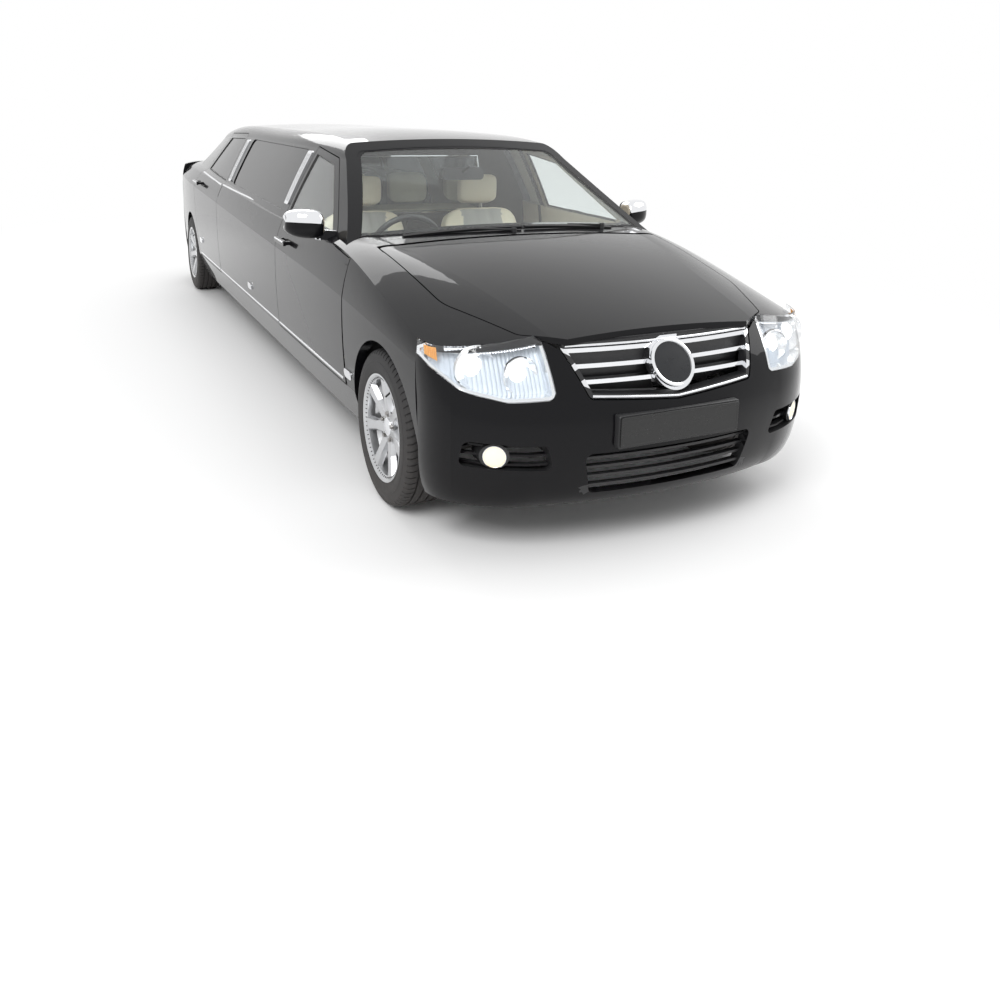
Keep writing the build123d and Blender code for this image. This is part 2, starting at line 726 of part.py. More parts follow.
def front_bumper():
    """Bumper cover with its lower intake, its lamp recesses and their slats."""
    form = fascia(0, fascia_depth)
    form = form - plan_prism(inset(bonnet_outline, -shut_gap), 720, 1300)
    tools = [grille_outline, headlamp_outline, mirror_outline(headlamp_outline)]
    gaps = [-shut_gap, -seat_gap, -seat_gap]
    for outline, gap in zip(tools, gaps):
        form = form - front_prism(inset(outline, gap), front_axle - 900, nose_join + 10)
    form = form & block(-far_x, far_x, front_axle - 900, nose_join, 0, 775)
    recess = [intake_outline, fog_outline, mirror_outline(fog_outline)]
    for outline in recess:
        form = form - front_prism(outline, front_axle - 900, nose_join)
    for z in intake_slats:
        form = form + curved_bar(z - 5, z + 5, front_axle - 738, 385, 24)
    for side in (-1, 1):
        for z in fog_slats:
            form = form + fog_bar(side, z)
    for side in (-1, 1):
        form = form - fog_barrel(side, fog_radius)
    return form


def fog_lamp(side):
    """Round fog lamp seated in the slats of its recess."""
    return fog_barrel(side, fog_radius - seat_gap) & fascia(10, fascia_depth)


def headlamp_lens(outline):
    """Clear cover of a headlamp, following the nose."""
    cover = front_prism(outline, front_axle - 900, nose_join - seat_gap) & fascia(0, 4)
    return cover - (bonnet_room() - body_solid(-70, panel_depth + shut_gap, 60))


def headlamp_bowl(outline):
    """Deep tray behind a lens, open to the front."""
    tray = front_prism(inset(outline, 1), front_axle - 900, nose_join - seat_gap) & fascia(4 + seat_gap, 90)
    hollow = front_prism(inset(outline, 12), front_axle - 900, nose_join - 20) & fascia(3, 72)
    return (tray - hollow) & body_solid(-70, panel_depth + shut_gap, 60)


def grille():
    """Grille frame with a shallow point below, its slats, mesh backing and blank centre boss."""
    deep = fascia(2, 46)
    whole = front_prism(grille_outline, front_axle - 900, nose_join)
    ring = whole - front_prism(inset(grille_outline, 16), front_axle - 900, nose_join)
    form = deep & ring
    core = front_prism(inset(grille_outline, 8), front_axle - 900, nose_join)
    form = form + (curved_bar(560, 800, front_axle - 664, 440, 12) & core)
    for low, high in grille_slats:
        lean = (high - 560) * grille_lean
        form = form + (curved_bar(low, high, front_axle - 758 + lean, 440, 34) & core)
    boss = rod((0, front_axle - 900, boss_z), (0, front_axle - 300, boss_z), boss_radius)
    form = form + (boss & fascia(0, 44))
    return form & under_lid


def rear_bumper():
    """Rear bumper cover below the lamps and the boot lid."""
    form = tail - end_solid(tail_levels, tail_join, fascia_depth, 100)
    form = form & block(-far_x, far_x, tail_join, rear_axle + 1200, 0, bumper_top_z)
    return form


def tail_lamp(outline):
    """One-piece rear lamp wrapped round the corner of the tail."""
    block_form = tail - end_solid(tail_levels, tail_join, fascia_depth - 5, 100)
    return block_form & front_prism(inset(outline, seat_gap), tail_join + 60 + seat_gap, rear_axle + 1200)


def floor_pan():
    """Floor, bulkhead, rear step, boot floor, seat wall and parcel shelf, with the lid hinge brackets."""
    width = 800
    sheet = 25
    back = rear_axle - 170
    pieces = [
        block(-width, width, front_axle + 560, rear_step, underside_z, floor_top_z),
        block(-width, width, front_axle + 560, front_axle + 560 + sheet, underside_z, 1200),
        block(-width, width, rear_step, rear_step + sheet, underside_z, boot_floor_z),
        block(-width, width, rear_step, tail_join, boot_floor_z - sheet, boot_floor_z),
        block(-560, 560, tail_join - 1, rear_axle + 860, boot_floor_z - sheet, boot_floor_z),
        block(-width, width, back, back + sheet, boot_floor_z - sheet, 1015),
        block(-width, width, back, rear_axle + 300, 990, 1015),
    ]
    form = pieces[0]
    for piece in pieces[1:]:
        form = form + piece
    form = form & body_solid(door_depth + 12, roof_depth + 0.6, 60)
    for axle_y, near in ((front_axle, 560), (rear_axle, 560)):
        tub = arch_cut(axle_y, near, liner_radius + 8)
        form = form - tub - mirrored(tub)
    form = form & block(-width, width, -5000, 5000, 0, 1016)
    pad_z = underside_z - jack_pad_drop
    form = form + [block(x - jack_pad, x + jack_pad, y - jack_pad, y + jack_pad, pad_z, floor_top_z)
                   for x in (-jack_x, jack_x) for y in jack_y]
    for pin in lid_pins(boot_hinge, boot_arm_x, boot_hinge[0] + 12):
        form = form + pin
    for x in (-boot_arm_x, boot_arm_x):
        side = -1 if x > 0 else 1
        low_x, high_x = sorted((x + side * 12, x + side * 22))
        form = form + block(low_x, high_x, boot_hinge[0] - 12, boot_hinge[0] + 12, boot_hinge[1] - 14, 992)
    for pin in lid_pins(bonnet_hinge, bonnet_arm_x, front_axle + 562):
        form = form + pin
    return form


def arch_liner(axle_y, wall):
    """Plastic liner over one wheel, inside the wing."""
    tube = arch_cut(axle_y, 565, liner_radius + 6) - arch_cut(axle_y, 500, liner_radius)
    tube = tube & block(0, far_x, axle_y - 500, axle_y + 500, sill_line_z + seat_gap, 1000)
    return tube & body_solid(wall + seat_gap, panel_depth + seat_gap, 60)


def dashboard():
    """Dashboard with its hood, from door to door behind the bulkhead."""
    profile = [(front_axle + 585, 640, 0), (front_axle + 850, 560, 40), (front_axle + 945, 640, 30),
               (front_axle + 960, 800, 40), (front_axle + 905, 905, 50), (front_axle + 800, 940, 60),
               (front_axle + 585, 950, 0)]
    form = side_prism(profile, -740, 740) & body_solid(door_depth + 22, roof_depth + 6)
    console = side_prism([(front_axle + 830, floor_top_z, 0), (front_axle + 1500, floor_top_z, 0),
                          (front_axle + 1500, 470, 40), (front_axle + 1020, 520, 60),
                          (front_axle + 830, 640, 0)], -105, 105)
    return form + console


def steering_wheel():
    """Steering wheel on the car's right with three arms and its column into the dashboard."""
    axis = Vector(0, cos(radians(24)), sin(radians(24)))
    face = Plane(origin=wheel_hub, x_dir=(1, 0, 0), z_dir=axis)
    section = Plane(origin=wheel_hub + face.y_dir * 183, x_dir=face.y_dir, z_dir=face.x_dir)
    ring = Face(Wire.make_circle(15, section))
    form = Solid.revolve(ring, 360, Axis(wheel_hub, axis))
    form = form + rod(wheel_hub - axis * 20, wheel_hub + axis * 14, 62)
    for turn in (0, 180, 270):
        reach = face.x_dir * cos(radians(turn)) + face.y_dir * sin(radians(turn))
        wide = axis.cross(reach) * 20
        low = wheel_hub - axis * 7
        arm = Face(Wire.make_polygon([low + reach * 30 - wide, low + reach * 180 - wide * 0.7,
                                      low + reach * 180 + wide * 0.7, low + reach * 30 + wide]))
        form = form + Solid.extrude(arm, axis * 14)
    column = rod(wheel_hub - axis * 150, wheel_hub - axis * 10, 26) - dashboard()
    return form + column


def seat(centre_x, width, front_y, facing, headrests):
    """A seat on its base: cushion, leaning back and headrests; facing is 1 to the front, -1 to the rear."""
    def side(points, half, x):
        placed = [(front_y + facing * y, z, r) for y, z, r in points]
        if facing < 0:
            placed = placed[::-1]
        return side_prism(placed, x - half, x + half)

    cushion = [(30, floor_top_z, 0), (500, floor_top_z, 0), (520, 455, 30), (60, 500, 40), (0, 430, 40)]
    back = [(400, 380, 30), (560, 380, 30), (715, 985, 30), (655, 1010, 30), (590, 990, 40)]
    rest = [(632, 1005, 10), (706, 1005, 10), (722, 1170, 28), (660, 1185, 24)]
    form = side(cushion, width / 2, centre_x) + side(back, width / 2 - 8, centre_x)
    for x in headrests:
        form = form + side(rest, 128, centre_x + x)
    return form


def partition():
    """Wall behind the front seats with a window to the rear cabin."""
    y = front_axle + 1890
    belt_z = 1016
    wall = block(-800, 800, y, y + 40, floor_top_z, 1500)
    lower = wall & body_solid(door_depth + 12 + seat_gap, -200, 60)
    lower = lower & block(-800, 800, y, y + 40, 0, belt_z + 6)
    upper = wall & cabin_solid(pillar_depth + seat_gap, roof_depth + seat_gap)
    upper = upper & block(-800, 800, y, y + 40, belt_z, 1500)
    opening = front_prism([(-470, 950, 40), (470, 950, 40), (430, 1290, 40), (-430, 1290, 40)],
                          y - 50, y + 90)
    return (lower + upper) - opening


def screen_point(x, up, lift):
    """Place on the windscreen: across, up the slope from its base, and lifted off the glass."""
    rise = Vector(0, screen_top[0] - screen_base[0], screen_top[1] - screen_base[1]).normalized()
    base = Vector(x, screen_base[0] + x * x / (2 * screen_plan_radius), screen_base[1])
    return base + rise * up + Vector(0, -rise.Z, rise.Y) * lift


def wipers():
    """Two parked wipers, blade and arm, each on its spindle."""
    low = screen_point(0, 56, 0)
    high = screen_point(0, 70, 0)
    out = screen_point(0, 0, 120) - screen_point(0, 0, 0)
    strip = [(p.Y, p.Z, 0) for p in (low - out, high - out, high + out, low + out)]
    layer = screen_tool(screen_base, screen_top, screen_plan_radius, -18, 14)
    deck = body_solid(0, -seat_gap)
    pieces = []
    for start, end in ((-560, 40), (60, 560)):
        blade = side_prism(strip[::-1], start, end) & layer
        foot = screen_point(end - 60, 22, 26)
        arm = rod(foot, screen_point((start + end) / 2, 63, 12), 5)
        spindle = rod(foot - Vector(0, 0, 40), foot + Vector(0, 0, 8), 13)
        pieces.append((blade + arm + spindle) - deck)
    return pieces


def interior_mirror():
    """Rear-view mirror on a stalk from the windscreen."""
    root = screen_point(0, 640, -6)
    head = Vector(0, root.Y + 95, root.Z - 52)
    form = rod(root - Vector(0, 20, -10), head, 8)
    low = head.Z - 32
    high = head.Z + 34
    corners = [(-118, low, 22), (118, low, 22), (124, high, 22), (-124, high, 22)]
    form = form + front_prism(corners, head.Y - 18, head.Y + 18)
    through_glass = 203 + glass_thickness + seat_gap
    return form - screen_tool(screen_base, screen_top, screen_plan_radius, -200, through_glass)


def engine_block():
    """Engine and gearbox as one plain mass on the front subframe."""
    form = block(-225, 225, front_axle - 330, front_axle + 300, 300, 740)
    gearbox = block(-140, 140, front_axle + 290, front_axle + 545, 270, 560)
    return form + gearbox


def front_subframe():
    """Front rails, cross member and lower arms."""
    form = block(-460, 460, front_axle - 60, front_axle + 120, 190, 300)
    inner = end_solid(nose_levels, nose_join, fascia_depth + 2, 100)
    for side in (-1, 1):
        x0, x1 = sorted((side * 395, side * 460))
        rail = block(x0, x1, nose_join + 50, front_axle + 560, 370, 450)
        tip = block(x0, x1, front_axle - 600, nose_join + 60, 370, 450) & inner
        form = form + rail + tip + block(x0, x1, front_axle - 60, front_axle + 120, 290, 380)
        a0, a1 = sorted((side * 440, side * (king_x + 4)))
        form = form + block(a0, a1, front_axle - 18, front_axle + 18, 180, 195)
    return form


def upright(axle_y):
    """Hub carrier with its spindle and brake caliper, left side."""
    form = block(king_x - 22, king_x + 16, axle_y - 42, axle_y + 42, axle_z - 90, axle_z + 95)
    form = form + rod((king_x, axle_y, axle_z), (hub_face + 8, axle_y, axle_z), spindle_radius)
    caliper = arch_cut(axle_y, disc_near - 24, disc_radius + 20)
    caliper = caliper - arch_cut(axle_y, disc_near - 60, disc_radius - 58)
    caliper = caliper & block(0, disc_near + disc_thickness + 18, axle_y, axle_y + 400,
                              axle_z - 62, axle_z + 62)
    slot = arch_cut(axle_y, disc_near - 1.5, disc_radius + 3) & block(0, disc_near + disc_thickness + 1.5,
                                                                   axle_y - 300, axle_y + 300, 0, 800)
    bridge = block(king_x - 10, disc_near - 4, axle_y + 20, axle_y + 120, axle_z - 40, axle_z + 40)
    return form + (caliper - slot) + bridge


def knuckle():
    """Steered front upright with its pivot boss below and strut above."""
    form = upright(front_axle)
    boss = rod((king_x, front_axle, 195 + seat_gap), (king_x, front_axle, axle_z), 20)
    clamp = block(strut_x - 10, king_x, front_axle - 24, front_axle + 24, axle_z + 50, axle_z + 94)
    strut = rod((strut_x, front_axle, axle_z + 40), (strut_x, front_axle, liner_radius + 292), 26)
    return form + boss + clamp + strut


def rear_suspension():
    """Rear axle carrier with final drive, half shafts and hub carriers."""
    form = block(-430, 430, rear_axle - 90, rear_axle + 90, 330, 385)
    form = form + block(-120, 120, rear_axle - 150, rear_axle + 170, 220, 400)
    form = form + block(-430, -380, rear_axle - 60, rear_axle + 60, 380, boot_floor_z - 25)
    form = form + block(380, 430, rear_axle - 60, rear_axle + 60, 380, boot_floor_z - 25)
    form = form + rod((-king_x, rear_axle, axle_z), (king_x, rear_axle, axle_z), 20)
    for y, z in ((rear_axle - 30, axle_z - 70), (rear_axle + 20, axle_z + 60)):
        form = form + rod((-king_x, y, z), (king_x, y, z), 14)
    carrier = upright(rear_axle)
    return form + carrier + mirrored(carrier)


def rim(axle_y):
    """Alloy wheel of the left: barrel, seven spokes, hub and brake disc."""
    centre = track / 2
    seat_r = rim_diameter / 2
    profile = [(-98, seat_r + 15), (-92, seat_r + 15), (-88, seat_r), (-45, seat_r), (-30, seat_r - 16),
               (30, seat_r - 16), (48, seat_r), (88, seat_r), (92, seat_r + 15), (98, seat_r + 15),
               (98, seat_r + 8), (84, seat_r - 9), (52, seat_r - 10), (34, seat_r - 24), (-34, seat_r - 24),
               (-50, seat_r - 9), (-90, seat_r - 8), (-98, seat_r + 6)]
    face = Face(Wire.make_polygon([Vector(centre + x, axle_y, axle_z + r) for x, r in profile]))
    axis = Axis((0, axle_y, axle_z), (1, 0, 0))
    form = Solid.revolve(face, 360, axis)
    form = form + rod((hub_face - 8, axle_y, axle_z), (hub_face + 26, axle_y, axle_z), 74)
    spoke = [(50, 54, 26, 34), (120, 68, 20, 24), (seat_r - 6, 80, 18, 32)]
    for i in range(spoke_count):
        turn = 2 * pi * i / spoke_count + pi / 2
        out = Vector(0, cos(turn), sin(turn))
        along = Vector(0, -sin(turn), cos(turn))
        wires = []
        for radius, mid_x, depth, half_width in spoke:
            mid = Vector(centre + mid_x, axle_y, axle_z) + out * radius
            deep = Vector(depth / 2, 0, 0)
            wide = along * half_width
            wires.append(Wire.make_polygon([mid - deep - wide, mid - deep + wide, mid + deep + wide * 0.7,
                                            mid + deep - wide * 0.7]))
        form = form + Solid.make_loft(wires, True)
    bell = rod((disc_near, axle_y, axle_z), (hub_face - 7, axle_y, axle_z), 72)
    bell = bell + rod((disc_near, axle_y, axle_z), (disc_near + disc_thickness, axle_y, axle_z), disc_radius)
    bell = bell - rod((disc_near - 5, axle_y, axle_z), (hub_face - 30, axle_y, axle_z), 56)
    form = form + bell
    return form - rod((0, axle_y, axle_z), (hub_face + 9, axle_y, axle_z), spindle_radius + pin_fit)


def tyre(axle_y):
    """Tyre of the left with rounded shoulders and four grooves."""
    centre = track / 2
    inner = rim_diameter / 2 + seat_gap / 2
    outer = tyre_diameter / 2
    half = tyre_width / 2
    side = [(half - 15.2, inner), (half - 11.2, inner + 15.4), (half - 4, inner + 28), (half, inner + 52),
            (half - 5, outer - 26), (half - 14, outer - 9), (half - 27, outer - 2)]
    grooves = []
    for x in (52, 18):
        grooves += [(x + 5, outer), (x + 4, outer - 7), (x - 4, outer - 7), (x - 5, outer)]
    right = side + grooves
    profile = right + [(-x, r) for x, r in right[::-1]]
    face = Face(Wire.make_polygon([Vector(centre + x, axle_y, axle_z + r) for x, r in profile]))
    return Solid.revolve(face, 360, Axis((0, axle_y, axle_z), (1, 0, 0)))


def exhaust():
    """Exhaust pipe, rear silencer and tail pipe under the floor."""
    pipe_x = 150
    pipe_z = 184
    radius = 26
    offset_x = 330
    form = rod((pipe_x, front_axle + 420, pipe_z), (pipe_x, rear_axle - 445, pipe_z), radius)
    form = form + rod((pipe_x, rear_axle - 420, pipe_z), (offset_x, rear_axle - 220, pipe_z), radius)
    form = form + rod((offset_x, rear_axle - 195, pipe_z), (offset_x, rear_axle + 420, pipe_z), radius)
    for x, y in ((pipe_x, rear_axle - 430), (offset_x, rear_axle - 210)):
        form = form + rod((x, y - 36, pipe_z), (x, y + 36, pipe_z), radius + 12)
    form = form + block(230, 520, rear_axle + 400, rear_axle + 760, 160, 330)
    form = form + rod((430, rear_axle + 740, pipe_z), (430, rear_axle + 985, pipe_z), radius)
    for y in (front_axle + 900, front_axle + 2200, rear_axle - 800):
        form = form + block(pipe_x - 8, pipe_x + 8, y, y + 30, pipe_z, underside_z)
    return form + block(360, 390, rear_axle + 560, rear_axle + 600, 300, boot_floor_z - 25)


def pillar_trim(middle_y):
    """Fluted bright cover on a side post."""
    half = trim_width / 2
    outline = [(middle_y - half, 1040, 10), (middle_y + half, 1040, 10), (middle_y + half, 1330, 10),
               (middle_y - half, 1330, 10)]
    form = (side_prism(outline, near_x, far_x) & cabin_solid(-8, -8)) - cabin_solid(-seat_gap, -seat_gap)
    pitch = trim_width / flute_count
    first = middle_y - half
    slots = [block(near_x, far_x, first + pitch * i - 2, first + pitch * i + 2, 1056, 1314)
             for i in range(1, flute_count)]
    return form - (Compound(slots) - cabin_solid(-4, -4))


Marker = namedtuple("Marker", "y z")
marker_lamps = [Marker(front_axle + 402, 430), Marker((front_axle + rear_axle) / 2, 460)]
door_marker = Marker(rear_axle - 560, 500)


def marker_lamp(place, seat):
    """Oval side marker lamp standing on the body side."""
    outline = [(place.y + u * 48, place.z + v * 20, 19) for u, v in ((-1, -1), (1, -1), (1, 1), (-1, 1))]
    proud = side_prism(outline, near_x, far_x) & body_solid(-9, -20, 60)
    return proud - body_solid(seat, -10, 60)


def both(shape):
    return [shape, mirrored(shape)]


def main():
    os.makedirs("parts", exist_ok=True)
    save("floor_pan", floor_pan())
    save("sills", *both(sill_and_stretch()))
    save("body_sides", *both(side_frame()))
    save("quarter_panels", quarter_panels())
    save("roof_panel", roof())
    save("scuttle_panel", scuttle())
    save("front_wings", *both(front_wings()))
    save("front_bumper", front_bumper())
    save("rear_bumper", rear_bumper())
    save("lamp_lenses", *both(headlamp_lens(headlamp_outline)), fog_lamp(1), fog_lamp(-1))
    save("headlamp_bowls", *both(headlamp_bowl(headlamp_outline)))
    save("tail_lamps", *both(tail_lamp(lamp_outline)))
    save("windscreen", screen(screen_base, screen_top, screen_plan_radius))
    save("dark_glass", screen(rear_glass_base, rear_glass_top, rear_plan_radius),
         *both(pane(long_window_outline)))
    trims = [pillar_trim(front_door_trail + 46), pillar_trim(rear_door_lead - 112)]
    trims += [marker_lamp(place, -seat_gap) for place in marker_lamps]
    save("side_brightwork", *[half for shape in trims for half in both(shape)])
    save("wipers", *wipers())
    save("dashboard", dashboard())
    save("steering_wheel", steering_wheel())
    save("interior_mirror", interior_mirror())
    rests = [driver_x, 0, -driver_x]
    bench = seat(0, 1110, rear_axle - 900, 1, rests) - block(
        -far_x, far_x, rear_step - seat_gap, rear_axle, 0, boot_floor_z + seat_gap)
    save("seats", *both(seat(driver_x, 520, front_axle + 1080, 1, [0])), bench,
         seat(0, 1240, front_axle + 2662, -1, rests))
    save("partition", partition())
    save("engine_block", engine_block())
    save("front_subframe", front_subframe())
    save("rear_suspension", rear_suspension())
    save("exhaust", exhaust())
    liners = [arch_liner(front_axle, wing_depth), arch_liner(rear_axle, 60)]
    save("arch_liners", *[half for shape in liners for half in both(shape)])
    save("bonnet", bonnet())
    save("grille", grille())
    save("boot_lid", hinged_lid(boot_lid(), boot_hinge, boot_arm_x, boot_route))
    front_door = door(front_door_outline, front_window_outline, front_door_lead)
    front_door = front_door + [door_mirror(), handle(front_axle + 1390, 868)]
    rear_door = door(rear_door_outline, rear_window_outline, rear_door_lead)
    rear_door = rear_door + [handle(rear_axle - 640, 960), marker_lamp(door_marker, 2)]
    handed = [("front_door", front_door), ("front_door_glass", pane(front_window_outline)),
              ("rear_door", rear_door), ("rear_door_glass", pane(rear_window_outline)),
              ("knuckle", knuckle())]
    for node, shape in handed:
        save(f"{node}_left", shape)
        save(f"{node}_right", mirrored(shape))
    for end, axle_y in (("front", front_axle), ("rear", rear_axle)):
        for node, shape in (("tyre", tyre(axle_y)), ("rim", rim(axle_y))):
            save(f"{node}_{end}_left", shape)
            save(f"{node}_{end}_right", mirrored(shape))


main()
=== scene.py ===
import json
from collections import namedtuple
from math import cos, pi, radians, sin

import bmesh
import bpy
from mathutils import Matrix, Vector
from mathutils.bvhtree import BVHTree

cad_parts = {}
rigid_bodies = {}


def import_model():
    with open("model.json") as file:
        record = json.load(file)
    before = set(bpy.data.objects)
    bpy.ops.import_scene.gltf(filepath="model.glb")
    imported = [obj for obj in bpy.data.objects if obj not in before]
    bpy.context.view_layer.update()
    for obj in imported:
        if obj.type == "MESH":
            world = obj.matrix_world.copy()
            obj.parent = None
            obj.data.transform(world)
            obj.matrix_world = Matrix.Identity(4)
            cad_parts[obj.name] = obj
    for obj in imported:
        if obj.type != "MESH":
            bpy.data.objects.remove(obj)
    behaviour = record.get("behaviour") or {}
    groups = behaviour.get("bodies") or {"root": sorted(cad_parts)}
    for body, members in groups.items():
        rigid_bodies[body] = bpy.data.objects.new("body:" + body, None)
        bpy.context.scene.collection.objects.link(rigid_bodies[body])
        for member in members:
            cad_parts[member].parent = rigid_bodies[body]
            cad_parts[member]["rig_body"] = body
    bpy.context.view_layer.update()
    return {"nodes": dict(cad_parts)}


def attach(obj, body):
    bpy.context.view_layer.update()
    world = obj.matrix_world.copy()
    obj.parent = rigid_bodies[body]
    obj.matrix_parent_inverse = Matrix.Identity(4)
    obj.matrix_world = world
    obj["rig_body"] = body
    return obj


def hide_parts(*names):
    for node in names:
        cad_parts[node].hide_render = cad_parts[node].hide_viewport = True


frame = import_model()
nodes = frame["nodes"]

# Places along the car, metres: the front is at negative Y, the driver sits at negative X
front_axle = -2.560
rear_axle = 2.290
axle_z = 0.316
track_half = 0.7705
sides = (("left", 1), ("right", -1))
ends = (("front", front_axle), ("rear", rear_axle))


# Camera at the place the picture was taken from
camera_place = Vector((-2.044, -5.908, 1.573))
camera_ahead = Vector((0.424, 0.885, -0.193)).normalized()
camera_right = Vector((0.903, -0.429, 0.019))
camera_lens = 33.32
camera_shift = (0.0204, -0.2085)


def place_camera():
    data = bpy.data.cameras.new("camera")
    data.sensor_width = 36
    data.lens = camera_lens
    data.shift_x, data.shift_y = camera_shift
    right = (camera_right - camera_ahead * camera_right.dot(camera_ahead)).normalized()
    up = right.cross(camera_ahead)
    turn = Matrix((right, up, -camera_ahead)).transposed()
    camera = bpy.data.objects.new("camera", data)
    camera.matrix_world = Matrix.Translation(camera_place) @ turn.to_4x4()
    bpy.context.scene.collection.objects.link(camera)
    bpy.context.scene.camera = camera


# Shader node groups
def new_group(name, inputs, outputs):
    group = bpy.data.node_groups.new(name, "ShaderNodeTree")
    for socket, kind, value in inputs:
        made = group.interface.new_socket(socket, in_out="INPUT", socket_type=kind)
        made.default_value = value
    for socket, kind in outputs:
        group.interface.new_socket(socket, in_out="OUTPUT", socket_type=kind)
    return group, group.nodes.new("NodeGroupInput"), group.nodes.new("NodeGroupOutput")


def add(tree, kind, **settings):
    node = tree.nodes.new(kind)
    for name, value in settings.items():
        setattr(node, name, value)
    return node


def math_node(tree, operation, first, second, clamp=False):
    node = add(tree, "ShaderNodeMath", operation=operation, use_clamp=clamp)
    for socket, value in zip(node.inputs, (first, second)):
        if isinstance(value, (int, float)):
            socket.default_value = value
        else:
            tree.links.new(value, socket)
    return node.outputs[0]


def road_film_group():
    """Mask of dust that thins out above a height and gathers in patches."""
    tree, start, end = new_group("road_film", [
        ("Height", "NodeSocketFloat", 0.6), ("Amount", "NodeSocketFloat", 0.2),
        ("Patch Scale", "NodeSocketFloat", 7.0)], [("Mask", "NodeSocketFloat")])
    place = add(tree, "ShaderNodeTexCoord")
    split = add(tree, "ShaderNodeSeparateXYZ")
    noise = add(tree, "ShaderNodeTexNoise")
    noise.inputs["Detail"].default_value = 6
    noise.inputs["Roughness"].default_value = 0.62
    tree.links.new(place.outputs["Object"], split.inputs[0])
    tree.links.new(place.outputs["Object"], noise.inputs["Vector"])
    tree.links.new(start.outputs["Patch Scale"], noise.inputs["Scale"])
    share = math_node(tree, "DIVIDE", split.outputs["Z"], start.outputs["Height"])
    low = math_node(tree, "SUBTRACT", 1.0, share, clamp=True)
    patch = math_node(tree, "MULTIPLY", low, noise.outputs[0])
    mask = math_node(tree, "MULTIPLY", patch, start.outputs["Amount"], clamp=True)
    tree.links.new(mask, end.inputs["Mask"])
    return tree


def grain_group():
    """Fine pebbled grain with a slow change of tone."""
    tree, start, end = new_group("grain", [
        ("Grain Scale", "NodeSocketFloat", 900.0), ("Tone Scale", "NodeSocketFloat", 9.0)],
        [("Height", "NodeSocketFloat"), ("Tone", "NodeSocketFloat")])
    place = add(tree, "ShaderNodeTexCoord")
    pebble = add(tree, "ShaderNodeTexVoronoi", feature="SMOOTH_F1")
    slow = add(tree, "ShaderNodeTexNoise")
    slow.inputs["Detail"].default_value = 4
    tree.links.new(place.outputs["Object"], pebble.inputs["Vector"])
    tree.links.new(place.outputs["Object"], slow.inputs["Vector"])
    tree.links.new(start.outputs["Grain Scale"], pebble.inputs["Scale"])
    tree.links.new(start.outputs["Tone Scale"], slow.inputs["Scale"])
    tree.links.new(pebble.outputs["Distance"], end.inputs["Height"])
    tree.links.new(slow.outputs[0], end.inputs["Tone"])
    return tree


def smear_group():
    """Slow cloudy change of gloss, as left by a polishing cloth."""
    tree, start, end = new_group("smear", [
        ("Scale", "NodeSocketFloat", 5.0), ("Least", "NodeSocketFloat", 0.03), ("Most", "NodeSocketFloat", 0.12)],
        [("Roughness", "NodeSocketFloat")])
    place = add(tree, "ShaderNodeTexCoord")
    noise = add(tree, "ShaderNodeTexNoise")
    noise.inputs["Detail"].default_value = 5
    spread = add(tree, "ShaderNodeMapRange")
    spread.inputs["From Min"].default_value = 0.35
    spread.inputs["From Max"].default_value = 0.7
    tree.links.new(place.outputs["Object"], noise.inputs["Vector"])
    tree.links.new(start.outputs["Scale"], noise.inputs["Scale"])
    tree.links.new(noise.outputs[0], spread.inputs["Value"])
    tree.links.new(start.outputs["Least"], spread.inputs["To Min"])
    tree.links.new(start.outputs["Most"], spread.inputs["To Max"])
    tree.links.new(spread.outputs[0], end.inputs["Roughness"])
    return tree


road_film = road_film_group()
grain = grain_group()
smear = smear_group()


# Materials
def base_material(name, color, roughness, metallic=0.0, **sockets):
    made = bpy.data.materials.new(name)
    made.use_nodes = True
    shader = made.node_tree.nodes["Principled BSDF"]
    shader.inputs["Base Color"].default_value = (*color, 1)
    shader.inputs["Roughness"].default_value = roughness
    shader.inputs["Metallic"].default_value = metallic
    for socket, value in sockets.items():
        shader.inputs[socket.replace("_", " ")].default_value = value
    return made


def group_in(made, group, **values):
    node = made.node_tree.nodes.new("ShaderNodeGroup")
    node.node_tree = group
    for socket, value in values.items():
        node.inputs[socket.replace("_", " ")].default_value = value
    return node


def shader_of(made):
    return made.node_tree.nodes["Principled BSDF"]


def mix_color(made, mask, first, second):
    mix = add(made.node_tree, "ShaderNodeMix", data_type="RGBA")
    mix.inputs["A"].default_value = (*first, 1)
    mix.inputs["B"].default_value = (*second, 1)
    made.node_tree.links.new(mask, mix.inputs["Factor"])
    made.node_tree.links.new(mix.outputs["Result"], shader_of(made).inputs["Base Color"])


def with_film(made, color, dust, height, amount, scale=7.0):
    """Dust low down on the surface, in its colour."""
    film = group_in(made, road_film, Height=height, Amount=amount, Patch_Scale=scale)
    mix_color(made, film.outputs["Mask"], color, dust)


def with_grain(made, scale, depth, first, second, tone_scale=9.0):
    """Grain in the relief and a slow tone change in the colour."""
    tree = made.node_tree
    texture = group_in(made, grain, Grain_Scale=scale, Tone_Scale=tone_scale)
    bump = add(tree, "ShaderNodeBump")
    bump.inputs["Strength"].default_value = 0.35
    bump.inputs["Distance"].default_value = depth
    tree.links.new(texture.outputs["Height"], bump.inputs["Height"])
    tree.links.new(bump.outputs["Normal"], shader_of(made).inputs["Normal"])
    mix_color(made, texture.outputs["Tone"], first, second)


def with_smear(made, scale, least, most):
    texture = group_in(made, smear, Scale=scale, Least=least, Most=most)
    made.node_tree.links.new(texture.outputs["Roughness"], shader_of(made).inputs["Roughness"])


